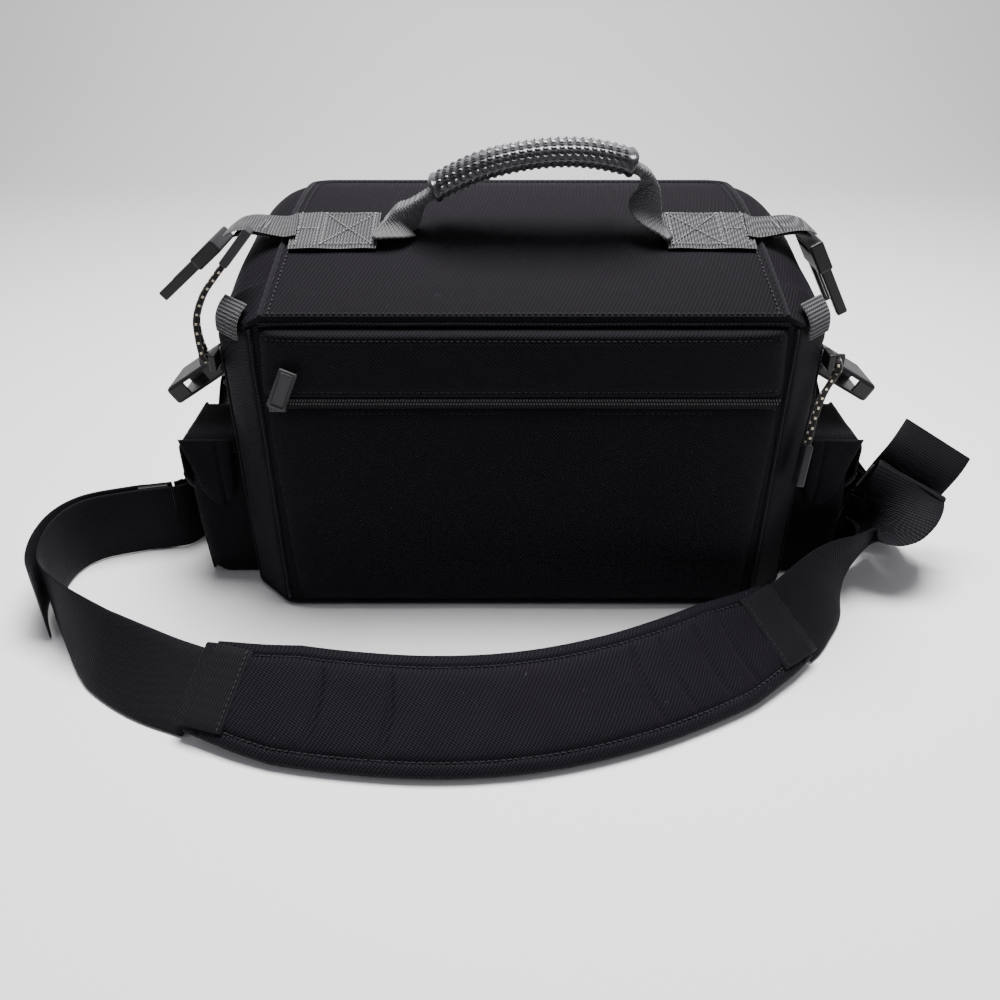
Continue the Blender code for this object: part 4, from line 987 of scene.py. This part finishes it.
# ---------------------------------------------------------------- shoulder webbing

RING_PIVOT = Vector((0.1850, RING_Y, 0.1310))
DROOP, REACH = math.radians(42), 0.020
ALONG = Vector((0.867, -0.323, -0.378)).normalized()
RISE = Vector((0.354, -0.132, 0.926)).normalized()
OUT = ALONG.cross(RISE)
JUNCTION = Vector((0.2560, -0.0150, 0.0400))
STRIP = 4


def lay_out(stations, first, last):
    places = [Vector(p) for p, _ in stations]
    sides = [Vector(w) for _, w in stations]
    first, last = Vector(first).normalized(), Vector(last).normalized()
    lead = places[1] - first * (places[1] - places[0]).length * 1.8
    trail = places[-2] + last * (places[-1] - places[-2]).length * 1.8
    centres = smooth_path([lead] + places + [trail], STRIP)[STRIP:-STRIP]
    widths = smooth_path([sides[0]] + sides + [sides[-1]], STRIP)[STRIP:-STRIP]
    directions = tangents(centres)
    directions[0], directions[-1] = first, last
    square = [(w - d * w.dot(d)).normalized() for w, d in zip(widths, directions)]
    return centres, square, directions


def strap_end_route(sign):
    bar = RING_PIVOT + Vector((math.cos(DROOP), 0, -math.sin(DROOP))) * REACH
    if sign > 0:
        stations = [(bar, (0, 1.0, 0)), ((0.2080, RING_Y - 0.0005, 0.0940), (-0.10, 0.99, 0)),
                    ((0.2180, RING_Y - 0.0060, 0.0660), (-0.38, 0.92, 0)),
                    ((0.2310, RING_Y - 0.0200, 0.0380), (-0.70, 0.71, 0)),
                    ((0.2425, RING_Y - 0.0360, 0.0200), (-0.88, 0.47, 0)),
                    ((0.2500, -0.0030, 0.0130), (-0.93, 0.36, 0)),
                    ((0.2530, -0.0125, 0.0222), (-0.93, 0.34, 0.10)), (JUNCTION - RISE * 0.0006, -ALONG)]
        return lay_out(stations, (0.2, 0, -0.6), RISE)
    stations = [((-bar.x, bar.y, bar.z), (0, 1.0, 0)), ((-bar.x - 0.0070, RING_Y, 0.0920), (0, 1.0, 0)),
                ((-0.2155, RING_Y - 0.0040, 0.0640), (0, 0.96, -0.28)),
                ((-0.2245, RING_Y - 0.0180, 0.0400), (0, 0.66, -0.75)),
                ((-0.2320, 0.0100, 0.0275), (0, 0.15, -0.99)),
                ((-STRAP_X + 0.0006, STRAP_Y, STRAP_Z), (0, 0, -1.0))]
    return lay_out(stations, (-0.2, 0, -0.6), (-0.974, -0.230, 0))


def make_strap_end(name, sign):
    centres, widths, directions = strap_end_route(sign)
    outer, inner = [], []
    last = len(centres) - 1
    for i, (centre, width, along) in enumerate(zip(centres, widths, directions)):
        normal = along.cross(width).normalized()
        spread = 0.0044 + (LAYER - 0.0044) * i / last
        outer.append(centre + normal * spread)
        inner.append(centre - normal * spread)
    top, out = centres[0], outer[0] - centres[0]
    lift = -directions[0] * 0.0044
    arc = [top + out * math.cos(math.pi * s / 6) + lift * math.sin(math.pi * s / 6) for s in range(1, 6)]
    path = outer[::-1] + arc + inner
    sides = widths[::-1] + [widths[0]] * 5 + widths
    item = webbing(f"strap_end_web_{name}", path, sides, STRAP_WIDTH, WEB_THICK, BLACK_WEB, None,
                   nodes=(f"strap_end_{name}",), slot="black_webbing")
    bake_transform(item)


def layer_of(centres, offset, full, fade):
    directions = tangents([Vector((c.x, c.y, 0)) for c in centres])
    layer = []
    for i, (centre, along) in enumerate(zip(centres, directions)):
        share = min(1.0, max(0.0, 1 - (i - full) / fade))
        layer.append(centre + UP.cross(along) * offset * share)
    return layer


def left_strips():
    loop = [(-STRAP_X, STRAP_Y, 90), (-0.2570, -0.0072, 90), (-0.2705, -0.0104, 90), (-0.298, -0.022, 90),
            (-0.3100, -0.043, 90), (-0.3090, -0.074, 90), (-0.2975, -0.101, 90), (-0.276, -0.124, 80),
            (-0.247, -0.1455, 60), (-0.213, -0.1620, 42), (-0.1810, -0.1725, 31)]
    flat = smooth_path([Vector((x, y, math.radians(lean))) for x, y, lean in loop], STRIP)
    centres, widths = [], []
    for p, along in zip(flat, tangents([Vector((p.x, p.y, 0)) for p in flat])):
        side = UP.cross(along)
        widths.append(side * math.cos(p.z) + Vector((0, 0, math.sin(p.z))))
        centres.append(Vector((p.x, p.y, 0.0012 + 0.025 * math.sin(p.z))))
    return [("band", layer_of(centres, LAYER, 26, 6), widths),
            ("tail", layer_of(centres, -LAYER, 26, 6)[:26], widths[:26])]


def right_strips():
    start = JUNCTION + OUT * LAYER
    top = start + RISE * 0.025
    fold = 0.0042
    band = [(start, ALONG), (start + RISE * 0.0125, ALONG), (top, ALONG),
            (top + RISE * fold + OUT * fold, ALONG), (top + OUT * 2 * fold, ALONG),
            ((0.2515, -0.0400, 0.0440), (0.62, -0.71, 0.32)), ((0.2335, -0.0465, 0.0270), (-0.055, -0.604, 0.796)),
            ((0.2170, -0.0630, 0.0256), (-0.20, -0.33, 0.87)), ((0.1972, -0.0828, 0.0235), (-0.36, 0.30, 0.83)),
            ((0.1790, -0.1010, 0.0190), (-0.46, 0.55, 0.70)), ((0.1620, -0.1165, 0.0141), (-0.50, 0.69, 0.515))]
    start = JUNCTION - OUT * LAYER
    top = start + RISE * 0.025
    tail = [(start, ALONG), (start + RISE * 0.0125, ALONG), (top, ALONG),
            ((0.2735, -0.0150, 0.0775), (0.88, -0.30, -0.36)), ((0.2830, -0.0075, 0.0890), (0.88, -0.30, -0.36))]
    return [(label, *lay_out(strip, RISE, last)[:2])
            for label, strip, last in (("band", band, (-0.79, -0.60, -0.10)), ("tail", tail, (0.55, 0.52, 0.65)))]


for side_name, side_sign, strips in (("left", -1, left_strips()), ("right", 1, right_strips())):
    make_strap_end(side_name, side_sign)
    for label, centres, widths in strips:
        webbing(f"strap_{label}_web_{side_name}", centres, widths, STRAP_WIDTH, WEB_THICK, BLACK_WEB,
                "shoulder_strap", nodes=(f"strap_{label}_{side_name}",), slot="black_webbing")


# ---------------------------------------------------------------- shoulder pad

def make_pad():
    line = [(-0.1800, -0.1728), (-0.140, -0.1845), (-0.095, -0.1925), (-0.045, -0.1960), (0.005, -0.1915),
            (0.055, -0.1775), (0.103, -0.1555), (0.140, -0.1330), (0.1612, -0.1171)]
    ground, = resample(smooth_path([Vector((x, y, 0)) for x, y in line], 8), 0.0013)
    directions = tangents(ground)
    total = lengths(ground)
    lean, thick, wide = math.radians(31), 0.009, 0.066
    columns, seam_inset = 60, 0.0075
    ribs = (0.19, 0.30, 0.70, 0.755, 0.82, 0.875)

    def crown_at(u):
        return max(0.0, 1 - abs(u) ** 6) ** 0.5

    def half_at(crown):
        return thick / 2 * (0.22 + 0.78 * crown) * (0.45 + 0.55 * full)

    rings, crest = [], []
    border_low, border_high, ups, sides = [], [], [], []
    for p, along, s in zip(ground, directions, total):
        t = s / total[-1]
        end = min(t, 1 - t)
        width = wide * (0.80 + 0.20 * min(1.0, end * 7))
        to_end = min(s, total[-1] - s)
        across = UP.cross(along) * math.cos(lean) + Vector((0, 0, math.sin(lean)))
        up = across.cross(along)
        if up.z <= 0:
            up = -up
        centre = p + Vector((0, 0, thick * 0.45 + wide / 2 * math.sin(lean)))
        full = (1 - math.exp(-to_end / 0.007))
        top, bottom = [], []
        for k in range(columns + 1):
            u = 2 * k / columns - 1
            across_at = u * width / 2
            crown = crown_at(u)
            gap = width / 2 * (1 - abs(u))
            groove = 0.0013 * math.exp(-((gap - seam_inset) / 0.0013) ** 2)
            groove += 0.0013 * math.exp(-((to_end - 0.010) / 0.0014) ** 2) * crown
            channel = 0.0009 * max(0.0, 1 - (abs(u) / 0.72) ** 8) if to_end > 0.024 else 0.0
            for cut in ribs:
                away = s - total[-1] * cut - 0.006 * (u * u - 0.3) * (1 if cut > 0.5 else -1)
                channel -= 0.0016 * math.exp(-(away / 0.0019) ** 2) * max(0.0, 1 - (abs(u) / 0.75) ** 6)
            place = centre + across * across_at
            wrinkle = 0.0007 * ripple(place, 0.020, 12.0) * crown
            half = half_at(crown)
            top.append(place + up * (half + channel - groove + wrinkle))
            bottom.append(place - up * half)
        rings.append(top + bottom[::-1])
        crest.append(centre)
        for edge, keep in ((-1, border_low), (1, border_high)):
            u = edge * (1 - seam_inset / (width / 2))
            keep.append(centre + across * (u * width / 2) + up * (half_at(crown_at(u)) - 0.0006))
        ups.append(up)
        sides.append(across)
    pad = loft("pad_cushion", rings, PAD, "shoulder_strap", nodes=("shoulder_pad",), slot="black_fabric")
    # The bands run on over the pad's ends and are sewn down there.
    reach = 20
    for label, pick in (("left", slice(0, reach)), ("right", slice(-reach, None))):
        on_top = [p + up * (thick / 2 + 0.0004) for p, up in zip(crest[pick], ups[pick])]
        outer, step = (0, 1) if label == "left" else (-1, -2)
        on_top[outer] += (on_top[outer] - on_top[step]).normalized() * 0.005 - ups[pick][outer] * 0.002
        webbing(f"pad_webbing_{label}", on_top, sides[pick], 0.048, WEB_THICK, BLACK_WEB, "shoulder_strap")
        inner = on_top[-3] if label == "left" else on_top[2]
        side, up = sides[pick][0], ups[pick][0]
        path = [inner + side * (0.022 * k / 10) + up * 0.0010 for k in range(-10, 11)]
        stitches(f"pad_webbing_stitch_{label}", path, [up] * 21, THREAD, "shoulder_strap")
    for label, path in (("low", border_low), ("high", border_high)):
        stitches(f"pad_stitch_{label}", path[7:-7], ups[7:-7], THREAD, "shoulder_strap", 0.0036, 0.0026, 0.00042)


make_pad()


# ---------------------------------------------------------------- zip cords

def slider_eye(sign):
    return Vector((sign * (SIDE_HALF + 0.0098), SIDE_Y0 + 0.001, RIM_Z + LID_GAP / 2))


def make_cord(name, sign):
    strand = {-1: [(0.1884, -0.0472, 0.1675), (0.1892, -0.0478, 0.1770), (0.1882, -0.0484, 0.1900),
                   (0.1820, -0.0488, 0.2035), (0.1745, -0.0488, 0.2130), (0.1680, -0.0486, 0.2205)],
              1: [(0.1885, -0.0468, 0.1586), (0.1875, -0.0482, 0.1530), (0.1795, -0.0565, 0.1440),
                  (0.1742, -0.0640, 0.1310), (0.1722, -0.0675, 0.1180)]}[sign]
    strand = smooth_path([Vector((sign * x, y, z)) for x, y, z in strand], 4)
    eye = slider_eye(sign)
    directions = tangents(strand)
    close, apart = 2 * CORD_RADIUS * 0.60, 0.0042
    first, second = [], []
    for i, (point, along) in enumerate(zip(strand, directions)):
        aside = along.cross(Vector((sign, 0, 0))).normalized()
        half = close + (apart - close) * max(0.0, 1 - i / 8) ** 2
        first.append(point + aside * half)
        second.append(point - aside * half)
    out, reach = first[0] - strand[0], eye - strand[0]
    bend = [strand[0] + out * math.cos(math.pi * s / 8) + reach * math.sin(math.pi * s / 8) for s in range(1, 8)]
    route = first[::-1] + bend + second
    rows, = resample(route, 0.0005)
    up = Vector((0, 1, 0))
    sides = 16
    verts, marks = [], []
    for j, (p, along) in enumerate(zip(rows, tangents(rows))):
        up = (up - along * up.dot(along)).normalized()
        side = along.cross(up)
        for k in range(sides):
            a = 2 * math.pi * k / sides
            # Two families of yarn cross over, so the surface is a lattice of small bumps.
            r = CORD_RADIUS + 0.00022 * (math.cos(4 * a + j * 0.85) * math.cos(4 * a - j * 0.85))
            verts.append(p + (side * math.cos(a) + up * math.sin(a)) * r)
    faces = grid_faces(len(rows), sides)
    for r in range(len(rows) - 1):
        for c in range(sides):
            cell = (c // 2 * 7 + r // 3 * 5 + (r // 3) * (c // 2)) % 4
            marks.append(1 if cell == 0 else 0)
    for ring, flip in ((0, True), (len(rows) - 1, False)):
        loop = [ring * sides + c for c in range(sides)]
        faces.append(tuple(reversed(loop)) if flip else tuple(loop))
        marks.append(0)
    item = make(f"zip_cord_braid_{name}", verts, faces, CORD_DARK, f"cord_pull_{name}",
                nodes=(f"zip_cord_{name}",), slot="pull_cord", marks=marks, others=(CORD_PALE,))
    return item, rows


CORDS = {side_name: make_cord(side_name, side_sign) for side_name, side_sign in SIDES}


# ---------------------------------------------------------------- remaining CAD pieces

LOOKS = [(PLASTIC, ("strap_ring", "strap_adjuster", "buckle_plug", "buckle_socket", "main_zip_slider",
                    "back_zip_slider", "front_zip_slider")),
         (DULL_PLASTIC, ("back_zip_pull", "front_zip_pull", "cord_end")), (BOARD, ("base_board",))]


def pull_frame(name, pivot, turn, body):
    """A raised rim round the face of a zip pull."""
    outward = math.copysign(1, pivot.y)
    spin = Matrix.Rotation(turn, 4, "Y")
    outline = rounded([(-0.0040, 0.0020), (0.0040, 0.0020), (0.0040, 0.0230), (-0.0040, 0.0230)], [0.0012] * 4,
                      edge_steps=4)
    path = [pivot + spin @ Vector((p.x, outward * 0.0012, p.y)) for p in outline]
    tube(name, path, 0.00065, PLASTIC, body, closed=True)


pull_frame("back_pull_rim", Vector((-0.140, -0.0860, 0.150)), math.radians(24), "back_pull")
pull_frame("front_pull_rim", Vector((0.126, 0.1030, 0.126)), math.pi, "front_pull")
for node_name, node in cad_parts.items():
    for look, prefixes in LOOKS:
        if node_name.startswith(prefixes):
            for slot in node.material_slots:
                slot.material = look


# ---------------------------------------------------------------- studio

def plain_material(name, colour, roughness):
    made = bpy.data.materials.new(name)
    made.use_nodes = True
    surface = made.node_tree.nodes["Principled BSDF"]
    surface.inputs["Base Color"].default_value = (*colour, 1.0)
    surface.inputs["Roughness"].default_value = roughness
    return made


def make_stage():
    floor = plain_material("studio_white", (0.80, 0.79, 0.80), 0.75)
    profile = [(-3.0, 0.0), (1.1, 0.0)]
    profile += [(1.1 + 0.5 * math.sin(a), 0.5 - 0.5 * math.cos(a)) for a in
                (math.pi / 2 * k / 12 for k in range(1, 13))]
    profile.append((1.6, 3.5))
    verts = [(x, y, z) for x in (-4.0, 4.0) for y, z in profile]
    count = len(profile)
    faces = [(k, count + k, count + k + 1, k + 1) for k in range(count - 1)]
    mesh = bpy.data.meshes.new("studio_sweep")
    mesh.from_pydata(verts, [], faces)
    mesh.materials.append(floor)
    for polygon in mesh.polygons:
        polygon.use_smooth = True
    item = bpy.data.objects.new("studio_sweep", mesh)
    bpy.context.scene.collection.objects.link(item)
    return item


def area(name, place, aim, size, power, colour):
    data = bpy.data.lights.new(name, "AREA")
    data.shape = "RECTANGLE"
    data.size, data.size_y = size
    data.energy = power
    data.color = colour
    item = bpy.data.objects.new(name, data)
    bpy.context.scene.collection.objects.link(item)
    item.location = place
    item.rotation_euler = (Vector(aim) - Vector(place)).to_track_quat("-Z", "Y").to_euler()
    return item


world = bpy.data.worlds.new("studio")
world.use_nodes = True
world.node_tree.nodes["Background"].inputs["Color"].default_value = (0.95, 0.91, 1.0, 1.0)
world.node_tree.nodes["Background"].inputs["Strength"].default_value = 0.22
bpy.context.scene.world = world
stage = [make_stage(),
         area("top_softbox", (0.05, 0.16, 1.35), (0.0, 0.0, 0.1), (0.8, 0.6), 62.0, (1.0, 0.99, 0.985)),
         area("right_fill", (1.3, -0.5, 0.8), (0.0, -0.05, 0.1), (0.8, 0.8), 3.0, (0.98, 0.98, 1.0)),
         area("left_fill", (-1.2, -0.7, 0.8), (0.0, -0.05, 0.1), (0.8, 0.8), 2.0, (0.98, 0.98, 1.0))]

lens = bpy.data.cameras.new("main_camera")
lens.lens, lens.sensor_width = 32.4, 36.0
camera = bpy.data.objects.new("main_camera", lens)
bpy.context.scene.collection.objects.link(camera)
camera.location = (-0.013, -0.545, 0.376)
camera.rotation_euler = (math.radians(58), 0, 0)
bpy.context.scene.camera = camera
